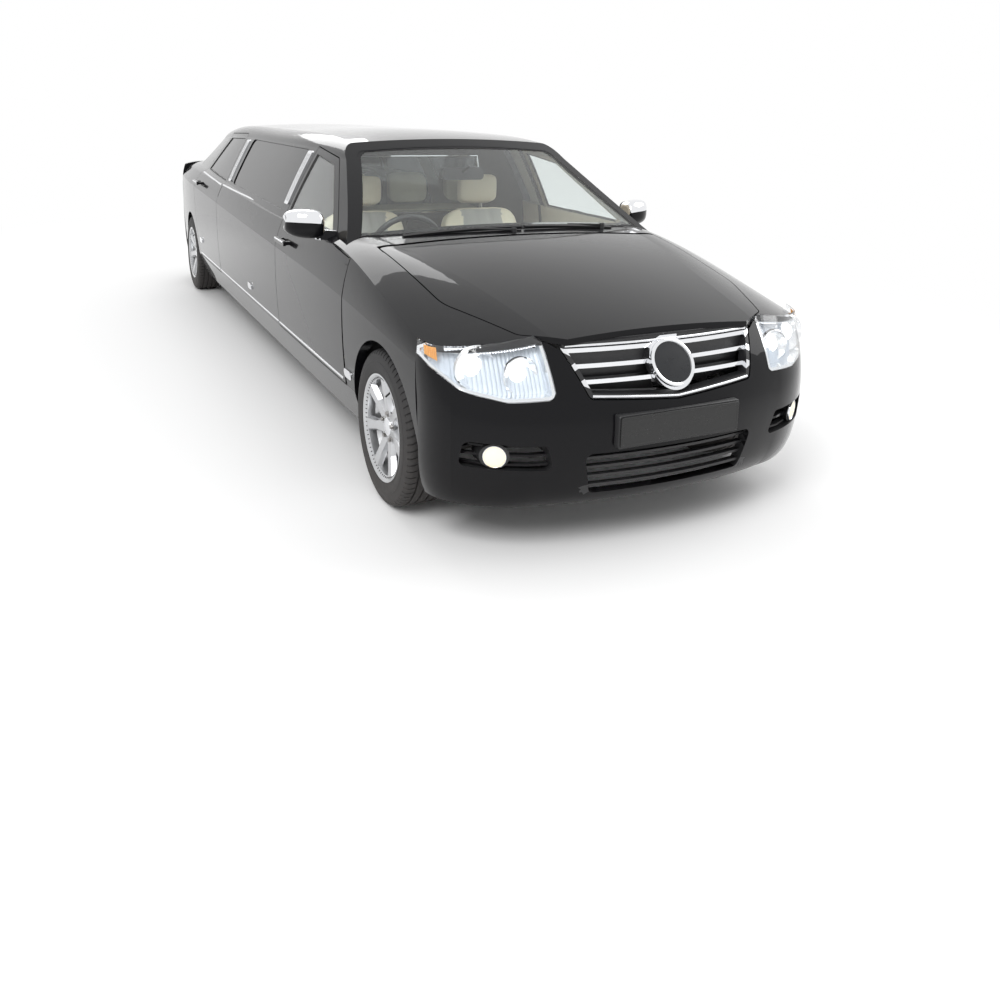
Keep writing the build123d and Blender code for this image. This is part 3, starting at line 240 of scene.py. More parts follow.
def glass_material(name, tint, dark):
    """Glass that lets light and shadow rays through as a pane does."""
    made = base_material(name, tint, 0.0, Transmission_Weight=1.0, IOR=1.46)
    tree = made.node_tree
    path = add(tree, "ShaderNodeLightPath")
    clear = add(tree, "ShaderNodeBsdfTransparent")
    clear.inputs["Color"].default_value = (*dark, 1)
    mix = add(tree, "ShaderNodeMixShader")
    tree.links.new(path.outputs["Is Shadow Ray"], mix.inputs["Fac"])
    tree.links.new(shader_of(made).outputs[0], mix.inputs[1])
    tree.links.new(clear.outputs[0], mix.inputs[2])
    tree.links.new(mix.outputs[0], tree.nodes["Material Output"].inputs["Surface"])
    return made


def glow_material(name, color, strength):
    made = base_material(name, color, 0.3, Emission_Strength=strength)
    shader_of(made).inputs["Emission Color"].default_value = (*color, 1)
    tree = made.node_tree
    texture = group_in(made, grain, Grain_Scale=420.0, Tone_Scale=60.0)
    mix = add(tree, "ShaderNodeMix", data_type="RGBA")
    mix.inputs["A"].default_value = (*color, 1)
    mix.inputs["B"].default_value = (*[c * 0.82 for c in color], 1)
    tree.links.new(texture.outputs["Tone"], mix.inputs["Factor"])
    tree.links.new(mix.outputs["Result"], shader_of(made).inputs["Emission Color"])
    return made


paint_color = (0.004, 0.004, 0.005)
dust_color = (0.11, 0.09, 0.075)
gloss_paint = base_material("gloss_black_paint", paint_color, 0.30, Coat_Weight=1.0, Coat_Roughness=0.012,
                            Coat_IOR=1.25, Specular_IOR_Level=0.03)
with_film(gloss_paint, paint_color, dust_color, 0.50, 0.08)
chrome = base_material("bright_chrome", (0.83, 0.84, 0.86), 0.06, 1.0)
with_smear(chrome, 18.0, 0.03, 0.10)
alloy = base_material("silver_alloy", (0.56, 0.57, 0.585), 0.28, 0.85, Coat_Weight=0.6, Coat_Roughness=0.08)
with_film(alloy, (0.56, 0.57, 0.585), (0.16, 0.13, 0.11), 0.62, 0.35, 26.0)
rubber = base_material("tyre_rubber", (0.016, 0.016, 0.017), 0.72)
with_film(rubber, (0.016, 0.016, 0.017), (0.085, 0.07, 0.06), 0.66, 0.55, 38.0)
moulding = base_material("black_moulding", (0.014, 0.014, 0.015), 0.42)
with_grain(moulding, 1400.0, 0.0004, (0.012, 0.012, 0.013), (0.020, 0.020, 0.021))
liner_black = base_material("liner_black", (0.01, 0.01, 0.01), 0.85)
with_grain(liner_black, 500.0, 0.001, (0.008, 0.008, 0.008), (0.016, 0.015, 0.014))
seal = base_material("seal_rubber", (0.006, 0.006, 0.006), 0.5)
with_smear(seal, 30.0, 0.38, 0.6)
dash_vinyl = base_material("dash_vinyl", (0.17, 0.175, 0.18), 0.55)
with_grain(dash_vinyl, 900.0, 0.0006, (0.15, 0.155, 0.16), (0.20, 0.205, 0.21))
trim_dark = base_material("cabin_trim", (0.03, 0.028, 0.026), 0.5)
with_grain(trim_dark, 700.0, 0.0006, (0.028, 0.026, 0.024), (0.045, 0.04, 0.036))
hide = base_material("cream_hide", (0.74, 0.66, 0.51), 0.45, Sheen_Weight=0.1)
with_grain(hide, 520.0, 0.0009, (0.70, 0.62, 0.47), (0.80, 0.73, 0.58))
hide_panel = base_material("hide_centre", (0.36, 0.35, 0.33), 0.5, Sheen_Weight=0.1)
with_grain(hide_panel, 420.0, 0.0011, (0.32, 0.31, 0.29), (0.42, 0.40, 0.37))
carpet = base_material("carpet", (0.035, 0.033, 0.032), 0.95, Sheen_Weight=0.4)
with_grain(carpet, 320.0, 0.004, (0.028, 0.026, 0.025), (0.05, 0.047, 0.045))
headlining = base_material("headlining", (0.50, 0.485, 0.45), 0.9)
with_grain(headlining, 600.0, 0.0012, (0.46, 0.445, 0.41), (0.54, 0.525, 0.49))
under_seal = base_material("under_seal", (0.02, 0.02, 0.021), 0.65)
with_film(under_seal, (0.02, 0.02, 0.021), (0.07, 0.06, 0.05), 0.7, 0.6, 14.0)
cast_metal = base_material("cast_metal", (0.34, 0.34, 0.35), 0.55, 0.8)
with_grain(cast_metal, 260.0, 0.002, (0.27, 0.27, 0.28), (0.40, 0.40, 0.41))
disc_iron = base_material("disc_iron", (0.30, 0.29, 0.28), 0.34, 1.0)
with_smear(disc_iron, 60.0, 0.22, 0.45)
bowl_mirror = base_material("lamp_bowl", (0.86, 0.87, 0.88), 0.12, 1.0)
with_smear(bowl_mirror, 40.0, 0.08, 0.2)
window_glass = glass_material("window_glass", (0.93, 0.97, 0.96), (0.9, 0.94, 0.93))
privacy_glass = glass_material("privacy_glass", (0.03, 0.032, 0.035), (0.05, 0.05, 0.055))
lamp_cover = glass_material("lamp_cover", (0.97, 0.98, 0.99), (0.95, 0.96, 0.97))
red_lens = base_material("red_lens", (0.22, 0.003, 0.005), 0.10, Specular_IOR_Level=0.25)
with_smear(red_lens, 24.0, 0.05, 0.12)
head_glow = glow_material("headlamp_glow", (1.0, 0.98, 0.94), 2.2)
fog_glow = glow_material("fog_glow", (1.0, 0.84, 0.58), 0.35)
amber_lens = glow_material("amber_lens", (0.62, 0.30, 0.08), 0.15)
lamp_panel_glow = glow_material("lamp_panel_glow", (0.44, 0.48, 0.53), 0.20)
lamp_strip = base_material("lamp_strip", (0.80, 0.82, 0.85), 0.18, 0.3)
with_smear(lamp_strip, 50.0, 0.12, 0.25)
grille_black = base_material("grille_black", (0.010, 0.010, 0.011), 0.38)
with_grain(grille_black, 240.0, 0.0012, (0.008, 0.008, 0.009), (0.014, 0.014, 0.015), 30.0)
satin_grey = base_material("satin_boss", (0.022, 0.023, 0.025), 0.36, Specular_IOR_Level=0.25)
with_smear(satin_grey, 22.0, 0.26, 0.40)
door_card = base_material("door_card", (0.42, 0.37, 0.29), 0.55)
with_grain(door_card, 700.0, 0.0007, (0.38, 0.335, 0.26), (0.46, 0.41, 0.33))
plate_black = base_material("blank_plate", (0.008, 0.008, 0.008), 0.3)
with_smear(plate_black, 20.0, 0.24, 0.4)

node_finish = {
    gloss_paint: ["sills", "body_sides", "quarter_panels", "roof_panel", "scuttle_panel", "front_wings",
                  "front_bumper", "rear_bumper", "bonnet", "boot_lid"]
    + [f"{end}_door_{side}" for end, _ in ends for side, _ in sides],
    under_seal: ["floor_pan", "front_subframe", "rear_suspension", "exhaust", "knuckle_left", "knuckle_right"],
    lamp_cover: ["lamp_lenses"],
    bowl_mirror: ["headlamp_bowls"],
    red_lens: ["tail_lamps"],
    window_glass: ["windscreen", "front_door_glass_left", "front_door_glass_right"],
    privacy_glass: ["dark_glass", "rear_door_glass_left", "rear_door_glass_right"],
    chrome: ["side_brightwork", "grille"],
    moulding: ["wipers", "steering_wheel", "interior_mirror"],
    dash_vinyl: ["dashboard"],
    hide: ["seats"],
    trim_dark: ["partition"],
    cast_metal: ["engine_block"],
    liner_black: ["arch_liners"],
    rubber: [f"tyre_{end}_{side}" for end, _ in ends for side, _ in sides],
    alloy: [f"rim_{end}_{side}" for end, _ in ends for side, _ in sides],
}


def finish_nodes():
    for finish, names in node_finish.items():
        for name in names:
            slots = nodes[name].data.materials
            slots.clear()
            slots.append(finish)


# Mesh helpers
def piece(name, verts, faces, finish, body, smooth=30):
    """A new mesh that rides on a body; faces that meet at more than the smooth angle stay crisp."""
    mesh = bpy.data.meshes.new(name)
    mesh.from_pydata([tuple(v) for v in verts], [], faces)
    work = bmesh.new()
    work.from_mesh(mesh)
    bmesh.ops.remove_doubles(work, verts=work.verts, dist=0.00001)
    bmesh.ops.recalc_face_normals(work, faces=work.faces)
    work.to_mesh(mesh)
    work.free()
    mesh.materials.append(finish)
    mesh.shade_smooth()
    mesh.set_sharp_from_angle(angle=radians(smooth))
    made = bpy.data.objects.new(name, mesh)
    bpy.context.scene.collection.objects.link(made)
    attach(made, body)
    return made


class Shape:
    """Vertices and faces of a mesh that is put together from several forms."""

    def __init__(self):
        self.verts = []
        self.faces = []

    def grid(self, rows, closed_row=False, closed_column=False):
        """Faces between rows of points of equal length."""
        start = len(self.verts)
        width = len(rows[0])
        for row in rows:
            self.verts += row
        row_count = len(rows) if closed_column else len(rows) - 1
        for i in range(row_count):
            for j in range(width if closed_row else width - 1):
                a = start + i * width + j
                b = start + i * width + (j + 1) % width
                c = start + ((i + 1) % len(rows)) * width + (j + 1) % width
                d = start + ((i + 1) % len(rows)) * width + j
                self.faces.append((a, b, c, d))

    def cap(self, points):
        start = len(self.verts)
        self.verts += points
        self.faces.append(tuple(range(start, start + len(points))))

    def tube(self, path, outs, profile, closed=False):
        """A profile of (across, out) points carried along a path whose outs point away from the surface."""
        rows = []
        count = len(path)
        for i, (here, out) in enumerate(zip(path, outs)):
            before = path[i - 1] if closed or i else here
            after = path[(i + 1) % count] if closed or i < count - 1 else here
            along = (after - before).normalized()
            across = along.cross(out).normalized()
            up = across.cross(along).normalized()
            rows.append([here + across * u + up * v for u, v in profile])
        self.grid(rows, closed_row=True, closed_column=closed)
        if not closed:
            self.cap(rows[0][::-1])
            self.cap(rows[-1])

    def lathe(self, centre, axis, side, profile, segments=48, turn=0.0):
        """A profile of (radius, along) points turned about an axis."""
        axis = Vector(axis).normalized()
        side = (Vector(side) - axis * Vector(side).dot(axis)).normalized()
        other = axis.cross(side)
        rows = []
        for i in range(segments):
            angle = turn + 2 * pi * i / segments
            out = side * cos(angle) + other * sin(angle)
            rows.append([Vector(centre) + out * r + axis * a for r, a in profile])
        self.grid(rows, closed_column=True)

    def make(self, name, finish, body, slot, smooth=30):
        return piece(name, self.verts, self.faces, finish, body, smooth)


def ray_target(*names):
    """The surfaces of the named CAD nodes, to set pieces down on."""
    verts = []
    faces = []
    for name in names:
        mesh = nodes[name].data
        first = len(verts)
        verts += [v.co.copy() for v in mesh.vertices]
        faces += [[first + i for i in face.vertices] for face in mesh.polygons]
    return BVHTree.FromPolygons(verts, faces)


def from_side(target, side, y, z):
    hit, normal, _, _ = target.ray_cast(Vector((side * 1.6, y, z)), Vector((-side, 0, 0)))
    return hit, normal


def from_front(target, x, z):
    hit, normal, _, _ = target.ray_cast(Vector((x, -4.6, z)), Vector((0, 1, 0)))
    return hit, normal


def from_above(target, x, y):
    hit, normal, _, _ = target.ray_cast(Vector((x, y, 2.2)), Vector((0, 0, -1)))
    return hit, normal


def rim_loop(node, facing, least=0.3):
    """Ordered edge of the node's largest surface that faces a way."""
    work = bmesh.new()
    work.from_mesh(nodes[node].data)
    left = set(work.faces)
    best = None
    for seed in work.faces:
        if seed not in left:
            continue
        left.remove(seed)
        group = [seed]
        for face in group:
            for edge in face.edges:
                for other in edge.link_faces:
                    if other in left:
                        left.remove(other)
                        group.append(other)
        area = sum(face.calc_area() for face in group)
        mean = sum((face.normal * face.calc_area() for face in group), Vector()) / area
        if mean.dot(facing) > least and (best is None or area > best[0]):
            best = (area, group)
    inside = set(best[1])
    ways = {}
    for face in best[1]:
        for loop in face.loops:
            if not any(other in inside for other in loop.edge.link_faces if other is not face):
                ways[loop.vert.index] = loop.link_loop_next.vert.index
    coords = {v.index: v.co.copy() for v in work.verts}
    work.free()
    loops = []
    while ways:
        start = next(iter(ways))
        chain = [start]
        here = ways.pop(start)
        while here != start and here in ways:
            chain.append(here)
            here = ways.pop(here)
        loops.append([coords[i] for i in chain])
    return max(loops, key=lambda chain: sum((b - a).length for a, b in zip(chain, chain[1:])))


def even_steps(path, step, closed):
    """The path again as points an even step apart."""
    points = path + [path[0]] if closed else path
    lengths = [(b - a).length for a, b in zip(points, points[1:])]
    count = max(2, round(sum(lengths) / step))
    gap = sum(lengths) / count
    made = []
    index = 0
    gone = 0.0
    for i in range(count if closed else count + 1):
        want = min(i * gap, sum(lengths) - 1e-9)
        while gone + lengths[index] < want:
            gone += lengths[index]
            index += 1
        share = (want - gone) / max(lengths[index], 1e-9)
        made.append(points[index].lerp(points[index + 1], share))
    return made


def dressed(node, name, rules, finish):
    """A copy of a CAD node with a finish for each part of it."""
    mesh = nodes[node].data.copy()
    mesh.materials.clear()
    for made in [finish] + [made for _, made in rules]:
        mesh.materials.append(made)
    for face in mesh.polygons:
        face.material_index = 0
        for index, (test, _) in enumerate(rules, 1):
            if test(face.center, face.normal):
                face.material_index = index
                break
    made = bpy.data.objects.new(name, mesh)
    bpy.context.scene.collection.objects.link(made)
    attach(made, nodes[node]["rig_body"])
    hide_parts(node)
    return made


round_bead = [(cos(2 * pi * i / 10), sin(2 * pi * i / 10)) for i in range(10)]


def bead(width, height):
    """Rounded section of a strip: half width across, height out from the surface."""
    return [(u * width, v * height) for u, v in round_bead]


# Wheels
tyre_outer = 0.316
tyre_inner = 0.2032
groove_places = (-0.052, -0.018, 0.018, 0.052)
groove_half = 0.0045
groove_depth = 0.0075
shoulder_start = 0.0600
shoulder_end = 0.0930
tread_pitches = 68
pitch_steps = (0.0, 0.76, 0.80, 0.96)


def tyre_profile():
    """Half section points as (across, radius) with raised rings on the side wall."""
    wall = [(-0.0900, tyre_inner), (-0.0945, 0.2110), (-0.0975, 0.2210), (-0.0975, 0.2240), (-0.0990, 0.2245),
            (-0.0995, 0.2290), (-0.0990, 0.2296), (-0.1005, 0.2380), (-0.1018, 0.2480), (-0.1025, 0.2560),
            (-0.1018, 0.2640), (-0.1024, 0.2646), (-0.1018, 0.2685), (-0.1008, 0.2692), (-0.0990, 0.2800),
            (-0.0970, 0.2890), (-0.0952, 0.2950), (-0.0930, 0.3000), (-0.0890, 0.3060), (-0.0835, 0.3105),
            (-0.0755, 0.3140), (-0.0680, 0.3152)]
    tread = [(-0.0600, 0.3157)]
    for place in groove_places:
        tread += [(place - groove_half, tyre_outer), (place - groove_half * 0.75, tyre_outer - groove_depth),
                  (place + groove_half * 0.75, tyre_outer - groove_depth), (place + groove_half, tyre_outer)]
    tread.append((0.0600, 0.3157))
    return wall + tread + [(-across, radius) for across, radius in wall[::-1]]


def tread_drop(across, step):
    """How far a tread point sinks into the slots across both shoulders."""
    if step >= 2 and shoulder_start <= abs(across) <= shoulder_end:
        return groove_depth * 0.8
    return 0.0


def build_tyre(end, side, axle_y, s):
    profile = tyre_profile()
    centre = Vector((s * track_half, axle_y, axle_z))
    shape = Shape()
    rows = []
    for i in range(tread_pitches * len(pitch_steps)):
        pitch, step = divmod(i, len(pitch_steps))
        row = []
        for across, radius in profile:
            lean = 0.10 * min(abs(across), shoulder_end) / shoulder_end if radius > 0.29 else 0.10
            angle = 2 * pi * (pitch + pitch_steps[step]) / tread_pitches + lean
            deep = radius - tread_drop(across, step)
            row.append(centre + Vector((across, deep * cos(angle), deep * sin(angle))))
        rows.append(row)
    shape.grid(rows, closed_row=True, closed_column=True)
    tyre = shape.make(f"road_tyre_{end}_{side}", rubber, f"wheel_{end}_{side}", "tyre", 38)
    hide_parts(f"tyre_{end}_{side}")


bolt_circle = 0.056
bolt_count = 5
hub_out = 0.0662


def build_wheel_fittings(end, side, axle_y, s):
    """Bolts, blank centre cap and valve on the wheel's face."""
    centre = Vector((s * track_half, axle_y, axle_z))
    out = Vector((s, 0, 0))
    body = f"wheel_{end}_{side}"
    shape = Shape()
    for i in range(bolt_count):
        angle = 2 * pi * i / bolt_count + pi / 2
        spot = centre + out * hub_out + Vector((0, cos(angle), sin(angle))) * bolt_circle
        seat = [(0.0001, 0.0005), (0.0145, 0.0005), (0.0160, 0.0020), (0.0160, -0.004)]
        head = [(0.0001, 0.0105), (0.0070, 0.0105), (0.0086, 0.0090), (0.0086, 0.0005)]
        shape.lathe(spot, out, (0, 0, 1), seat, 20)
        shape.lathe(spot, out, (0, 0, 1), head, 6, angle)
    shape.make(f"wheel_bolts_{end}_{side}", disc_iron, body, "alloy", 25)
    cap = Shape()
    cap.lathe(centre + out * hub_out, out, (0, 0, 1), [
        (0.0375, -0.002), (0.0375, 0.0030), (0.0362, 0.0048), (0.0335, 0.0052), (0.0325, 0.0040), (0.0300, 0.0042),
        (0.0200, 0.0062), (0.0100, 0.0072), (0.0001, 0.0075)], 48)
    cap.make(f"centre_cap_{end}_{side}", chrome, body, "chrome", 25)
    valve = Shape()
    angle = pi / 2 + pi / 7
    foot = centre + out * 0.083 + Vector((0, cos(angle), sin(angle))) * 0.190
    valve.lathe(foot, out * 0.8 - Vector((0, cos(angle), sin(angle))), (0, 0, 1), [
        (0.0055, -0.004), (0.0055, 0.004), (0.0040, 0.008), (0.0040, 0.026), (0.0034, 0.030), (0.0001, 0.030)], 14)
    valve.make(f"valve_{end}_{side}", seal, body, "tyre", 30)


def build_wheels():
    for end, axle_y in ends:
        for side, s in sides:
            build_tyre(end, side, axle_y, s)
            build_wheel_fittings(end, side, axle_y, s)
            axle = Vector((s * track_half, axle_y, axle_z))
            disc = [(lambda c, n, a=axle, s=s: (c.x - a.x) * s < -0.004 and (c - a).yz.length < 0.151, disc_iron)]
            dressed(f"rim_{end}_{side}", f"alloy_wheel_{end}_{side}", disc, alloy)


# Lamps
lamp_rows = 15
fog_place = (0.675, 0.393)
fog_top = 0.46
head_dishes = ((0.572, 0.668, 0.062), (0.712, 0.690, 0.072))
LampPanel = namedtuple("LampPanel", "name span_x share depth flutes columns finish slot")
lamp_panels = (
    LampPanel("lamp_panel", (0.486, 0.835), (0.0, 0.80), 0.052, 24, 72, lamp_panel_glow, "reflector"),
    LampPanel("lamp_top_strip", (0.500, 0.800), (0.84, 0.98), 0.014, 30, 90, lamp_strip, "reflector"),
    LampPanel("lamp_turn", (0.822, 0.850), (0.45, 0.95), 0.010, 6, 30, amber_lens, "lamp_clear"),
)
lens_edge = 0.004
flute_depth = 0.003
dish_setback = 0.046


def lens_span(target, x):
    """Lowest and highest point of a headlamp cover at a distance from the centre line."""
    heights = [0.56 + 0.002 * i for i in range(140)]
    hits = [z for z in heights if from_front(target, x, z)[0]]
    return hits[0], hits[-1]


def lamp_panel(target, s, panel):
    """Panel behind a headlamp cover, from one share of its height to another, with upright flutes."""
    rows = []
    for i in range(panel.columns + 1):
        x = panel.span_x[0] + (panel.span_x[1] - panel.span_x[0]) * i / panel.columns
        low, high = lens_span(target, s * x)
        wave = flute_depth * cos(2 * pi * panel.flutes * i / panel.columns)
        row = []
        for j in range(lamp_rows):
            at = panel.share[0] + (panel.share[1] - panel.share[0]) * j / (lamp_rows - 1)
            z = low + lens_edge + (high - low - 2 * lens_edge) * at
            hit, _ = from_front(target, s * x, z)
            row.append(hit + Vector((0, panel.depth + wave, 0)))
        rows.append(row)
    shape = Shape()
    shape.grid(rows)
    return shape


def build_headlamps():
    """Fluted panels, dishes and lit bulbs behind the headlamp covers."""
    target = ray_target("lamp_lenses")
    for side, s in sides:
        for panel in lamp_panels:
            lamp_panel(target, s, panel).make(f"{panel.name}_{side}", panel.finish, "body", panel.slot, 60)
        for number, (x, z, radius) in enumerate(head_dishes, 1):
            hit, _ = from_front(target, s * x, z)
            centre = hit + Vector((0, dish_setback, 0))
            dish = Shape()
            dish.lathe(centre, (0, -1, 0), (0, 0, 1), [
                (radius * 1.08, -0.004), (radius * 1.08, 0.010), (radius * 1.02, 0.013), (radius * 0.98, 0.010),
                (radius * 0.80, -0.006), (radius * 0.55, -0.016), (radius * 0.30, -0.021)], 64)
            dish.make(f"lamp_dish_{number}_{side}", bowl_mirror, "body", "reflector", 40)
            bulb = Shape()
            bulb.lathe(centre, (0, -1, 0), (0, 0, 1), [
                (radius * 0.50, -0.017), (radius * 0.50, -0.004), (radius * 0.40, 0.004), (radius * 0.20, 0.009),
                (0.0001, 0.0105)], 48)
            bulb.make(f"lamp_light_{number}_{side}", head_glow, "body", "reflector", 60)


def build_fog_lamps():
    """Lit fog lamps in dark housings with a bright rim, and clear headlamp covers, in place of the plain lenses."""
    housing = [(lambda c, n: c.z < fog_top, moulding)]
    dressed("lamp_lenses", "lamp_covers", housing, lamp_cover)
    target = ray_target("lamp_lenses")
    for side, s in sides:
        hit, normal = from_front(target, s * fog_place[0], fog_place[1])
        rim = Shape()
        rim.lathe(hit, normal, (0, 0, 1), [
            (0.0375, 0.0040), (0.0390, 0.0062), (0.0415, 0.0052), (0.0425, 0.0010), (0.0425, -0.0080)], 56)
        rim.make(f"fog_ring_{side}", chrome, "body", "chrome", 40)
        lens = Shape()
        lens.lathe(hit, normal, (0, 0, 1), [
            (0.0380, 0.0030), (0.0300, 0.0062), (0.0200, 0.0084), (0.0090, 0.0096), (0.0001, 0.0100)], 56)
        lens.make(f"fog_lens_{side}", fog_glow, "body", "lamp_clear", 50)


# Grille, plate and lower intake
slat_heights = ((0.632, 0.648), (0.684, 0.700), (0.736, 0.752))
boss_place = (0.0, 0.684)
boss_radius = 0.092


def on_slat(c, n):
    backing = front_axle - 0.664 + c.x * c.x / 4.4
    return any(low - 0.001 <= c.z <= high + 0.001 for low, high in slat_heights) and c.y < backing - 0.004


def on_boss(c, n):
    return (Vector((c.x, c.z)) - Vector(boss_place)).length < boss_radius + 0.0008 and n.y < -0.2


def build_grille():
    dressed("grille", "grille_dressed", [(on_boss, chrome), (on_slat, chrome)], grille_black)
    target = ray_target("grille", "bonnet")
    centre, lean = from_front(target, *boss_place)
    ring = Shape()
    ring.lathe(centre, lean, (0, 0, 1), [
        (boss_radius * 0.84, 0.0010), (boss_radius * 0.86, 0.0060), (boss_radius * 0.93, 0.0085),
        (boss_radius * 1.00, 0.0060), (boss_radius * 1.02, -0.0100)], 72)
    ring.make("boss_ring", chrome, "bonnet", "chrome", 40)
    disc = Shape()
    disc.lathe(centre, lean, (0, 0, 1), [
        (boss_radius * 0.85, 0.0012), (boss_radius * 0.60, 0.0034), (boss_radius * 0.30, 0.0046),
        (0.0001, 0.0050)], 72)
    disc.make("boss_disc", satin_grey, "bonnet", "chrome", 40)
    edge = ray_target("grille")
    corners = [(-0.344, 0.5985), (0.0, 0.5735), (0.344, 0.5985)]
    for name, ends_at in (("lower_left", corners[1:]), ("lower_right", corners[:2])):
        strip_on_front(f"grille_strip_{name}", edge, ends_at, 26, bead(0.0050, 0.0045))
    strip_on_front("grille_strip_top", edge, [(-0.405, 0.7600), (0.405, 0.7600)], 44, bead(0.0055, 0.0050))


def strip_on_front(name, target, ends_at, count, profile):
    """Bright strip laid on the nose between two (x, z) points."""
    (x0, z0), (x1, z1) = ends_at
    path = []
    for i in range(count + 1):
        hit, _ = from_front(target, x0 + (x1 - x0) * i / count, z0 + (z1 - z0) * i / count)
        if hit:
            path.append(hit)
    shape = Shape()
    shape.tube(path, [Vector((0, -1, 0))] * len(path), profile)
    shape.make(name, chrome, "bonnet", "chrome", 40)


plate_half = (0.260, 0.0555)
plate_z = 0.472


def rounded_rectangle(half_x, half_z, radius, steps=6):
    points = []
    for quarter, (u, v) in enumerate(((1, 1), (-1, 1), (-1, -1), (1, -1))):
        for i in range(steps + 1):
            angle = pi / 2 * (quarter + i / steps)
            points.append((u * (half_x - radius) + radius * cos(angle), v * (half_z - radius) + radius * sin(angle)))
    return points


def build_plate():
    """Blank number plate on a plinth that meets the bumper."""
    target = ray_target("front_bumper")
    centre, _ = from_front(target, 0.0, plate_z)
    face_y = centre.y - 0.014
    outline = rounded_rectangle(*plate_half, 0.008)
    plate = Shape()
    rows = []
    for grow, out in ((0.0, 0.008), (0.0, 0.0), (-0.0015, -0.0015), (-0.0075, -0.0015), (-0.0085, -0.0006)):
        rows.append([Vector((x * (1 + grow / plate_half[0]), face_y + out, plate_z + z * (1 + grow / plate_half[1])))
                     for x, z in outline])
    plate.grid(rows, closed_row=True)
    plate.cap(rows[-1])
    plate.make("front_plate_blank", plate_black, "body", "black_plastic", 30)
    plinth = Shape()
    rows = [[Vector((x * 1.016, face_y + 0.004, plate_z + z * 1.07)) for x, z in outline]]
    rows.append([Vector((x * 1.022, face_y + 0.007, plate_z + z * 1.10)) for x, z in outline])
    back = []
    for x, z in outline:
        hit, _ = from_front(target, x * 1.026, plate_z + z * 1.12)
        deep = hit.y + 0.004 if hit else face_y + 0.05
        back.append(Vector((x * 1.026, deep, plate_z + z * 1.12)))
    rows.append(back)
    plinth.grid(rows, closed_row=True)
    plinth.cap(rows[0])
    plinth.make("plate_plinth", moulding, "body", "black_plastic", 30)


def in_intake(c, n):
    behind = front_axle - 0.752 + c.x * c.x / 4.4
    return 0.236 < c.z < 0.398 and abs(c.x) < 0.372 and c.y > behind


def in_fog_recess(c, n):
    return 0.34 < c.z < 0.446 and 0.48 < abs(c.x) < 0.78 and n.y > -0.25


def build_bumper_finish():
    """Painted bumper with its intake and the recesses of the fog lamps in black moulding."""
    dressed("front_bumper", "front_bumper_dressed", [(in_intake, moulding), (in_fog_recess, moulding)],
            gloss_paint)


# Strips and seals of the flanks
belt_runs = (
    ("front_door", (front_axle + 0.84, 0.966), (front_axle + 1.688, 0.974)),
    ("stretch", (front_axle + 1.706, 0.976), (rear_axle - 1.346, 1.004)),
    ("rear_door", (rear_axle - 1.332, 1.000), (rear_axle - 0.372, 1.032)),
)
sill_runs = (
    ("front_door", (front_axle + 0.470, 0.384), (front_axle + 1.688, 0.384)),
    ("stretch", (front_axle + 1.706, 0.384), (rear_axle - 1.346, 0.384)),
    ("rear_door", (rear_axle - 1.332, 0.384), (rear_axle - 0.400, 0.384)),
)


def run_carrier(run, side):
    """CAD node and body that a flank strip sits on."""
    if run == "stretch":
        return "sills", "body"
    return f"{run}_{side}", f"{run}_{side}"


def flank_strip(name, node, body, s, start, end, profile, lift=0.0):
    target = ray_target(node)
    path = []
    outs = []
    count = max(8, round((end[0] - start[0]) / 0.03))
    for i in range(count + 1):
        share = i / count
        hit, normal = from_side(target, s, start[0] + (end[0] - start[0]) * share,
                                start[1] + (end[1] - start[1]) * share)
        if hit:
            path.append(hit + normal * lift)
            outs.append(normal)
    shape = Shape()
    shape.tube(path, outs, profile)
    shape.make(name, chrome, body, "chrome", 40)


def build_flank_strips():
    for side, s in sides:
        for run, start, end in belt_runs:
            node, body = run_carrier(run, side)
            flank_strip(f"belt_strip_{run}_{side}", node, body, s, start, end, bead(0.0070, 0.0040))
        for run, start, end in sill_runs:
            node, body = run_carrier(run, side)
            flank_strip(f"sill_strip_{run}_{side}", node, body, s, start, end, bead(0.0060, 0.0035))


def window_seal(node, facing, width, height):
    """Rubber seal round the edge of a pane."""
    loop = even_steps(rim_loop(node, facing), 0.02, True)
    shape = Shape()
    shape.tube(loop, [facing] * len(loop), bead(width, height), closed=True)
    shape.make(f"seal_{node}", seal, nodes[node]["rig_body"], "black_plastic", 50)


def build_window_seals():
    for side, s in sides:
        for end in ("front", "rear"):
            window_seal(f"{end}_door_glass_{side}", Vector((s, 0, 0.25)).normalized(), 0.0090, 0.0045)


screen_facing = Vector((0, -0.48, 0.877))


def screen_band(name, node, facing, width, lift):
    """Black band printed round the edge of a screen."""
    target = ray_target(node)
    loop = even_steps(rim_loop(node, facing), 0.03, True)
    centre = sum(loop, Vector()) / len(loop)
    rows = []
    for share in (0.04, 0.35, 0.7, 1.0):
        row = []
        for point in loop:
            inward = (centre - point).normalized() * width * share
            hit, normal, _, _ = target.ray_cast(point + inward + facing * 0.2, -facing)
            row.append(hit + normal * lift if hit else point + inward * 1.05 + facing * lift)
        rows.append(row)
    shape = Shape()
    shape.grid(rows, closed_row=True)
    shape.make(name, gloss_paint, "body", "black_plastic", 60)


def build_screen_bands():
    screen_band("windscreen_band", "windscreen", screen_facing, 0.024, 0.0012)


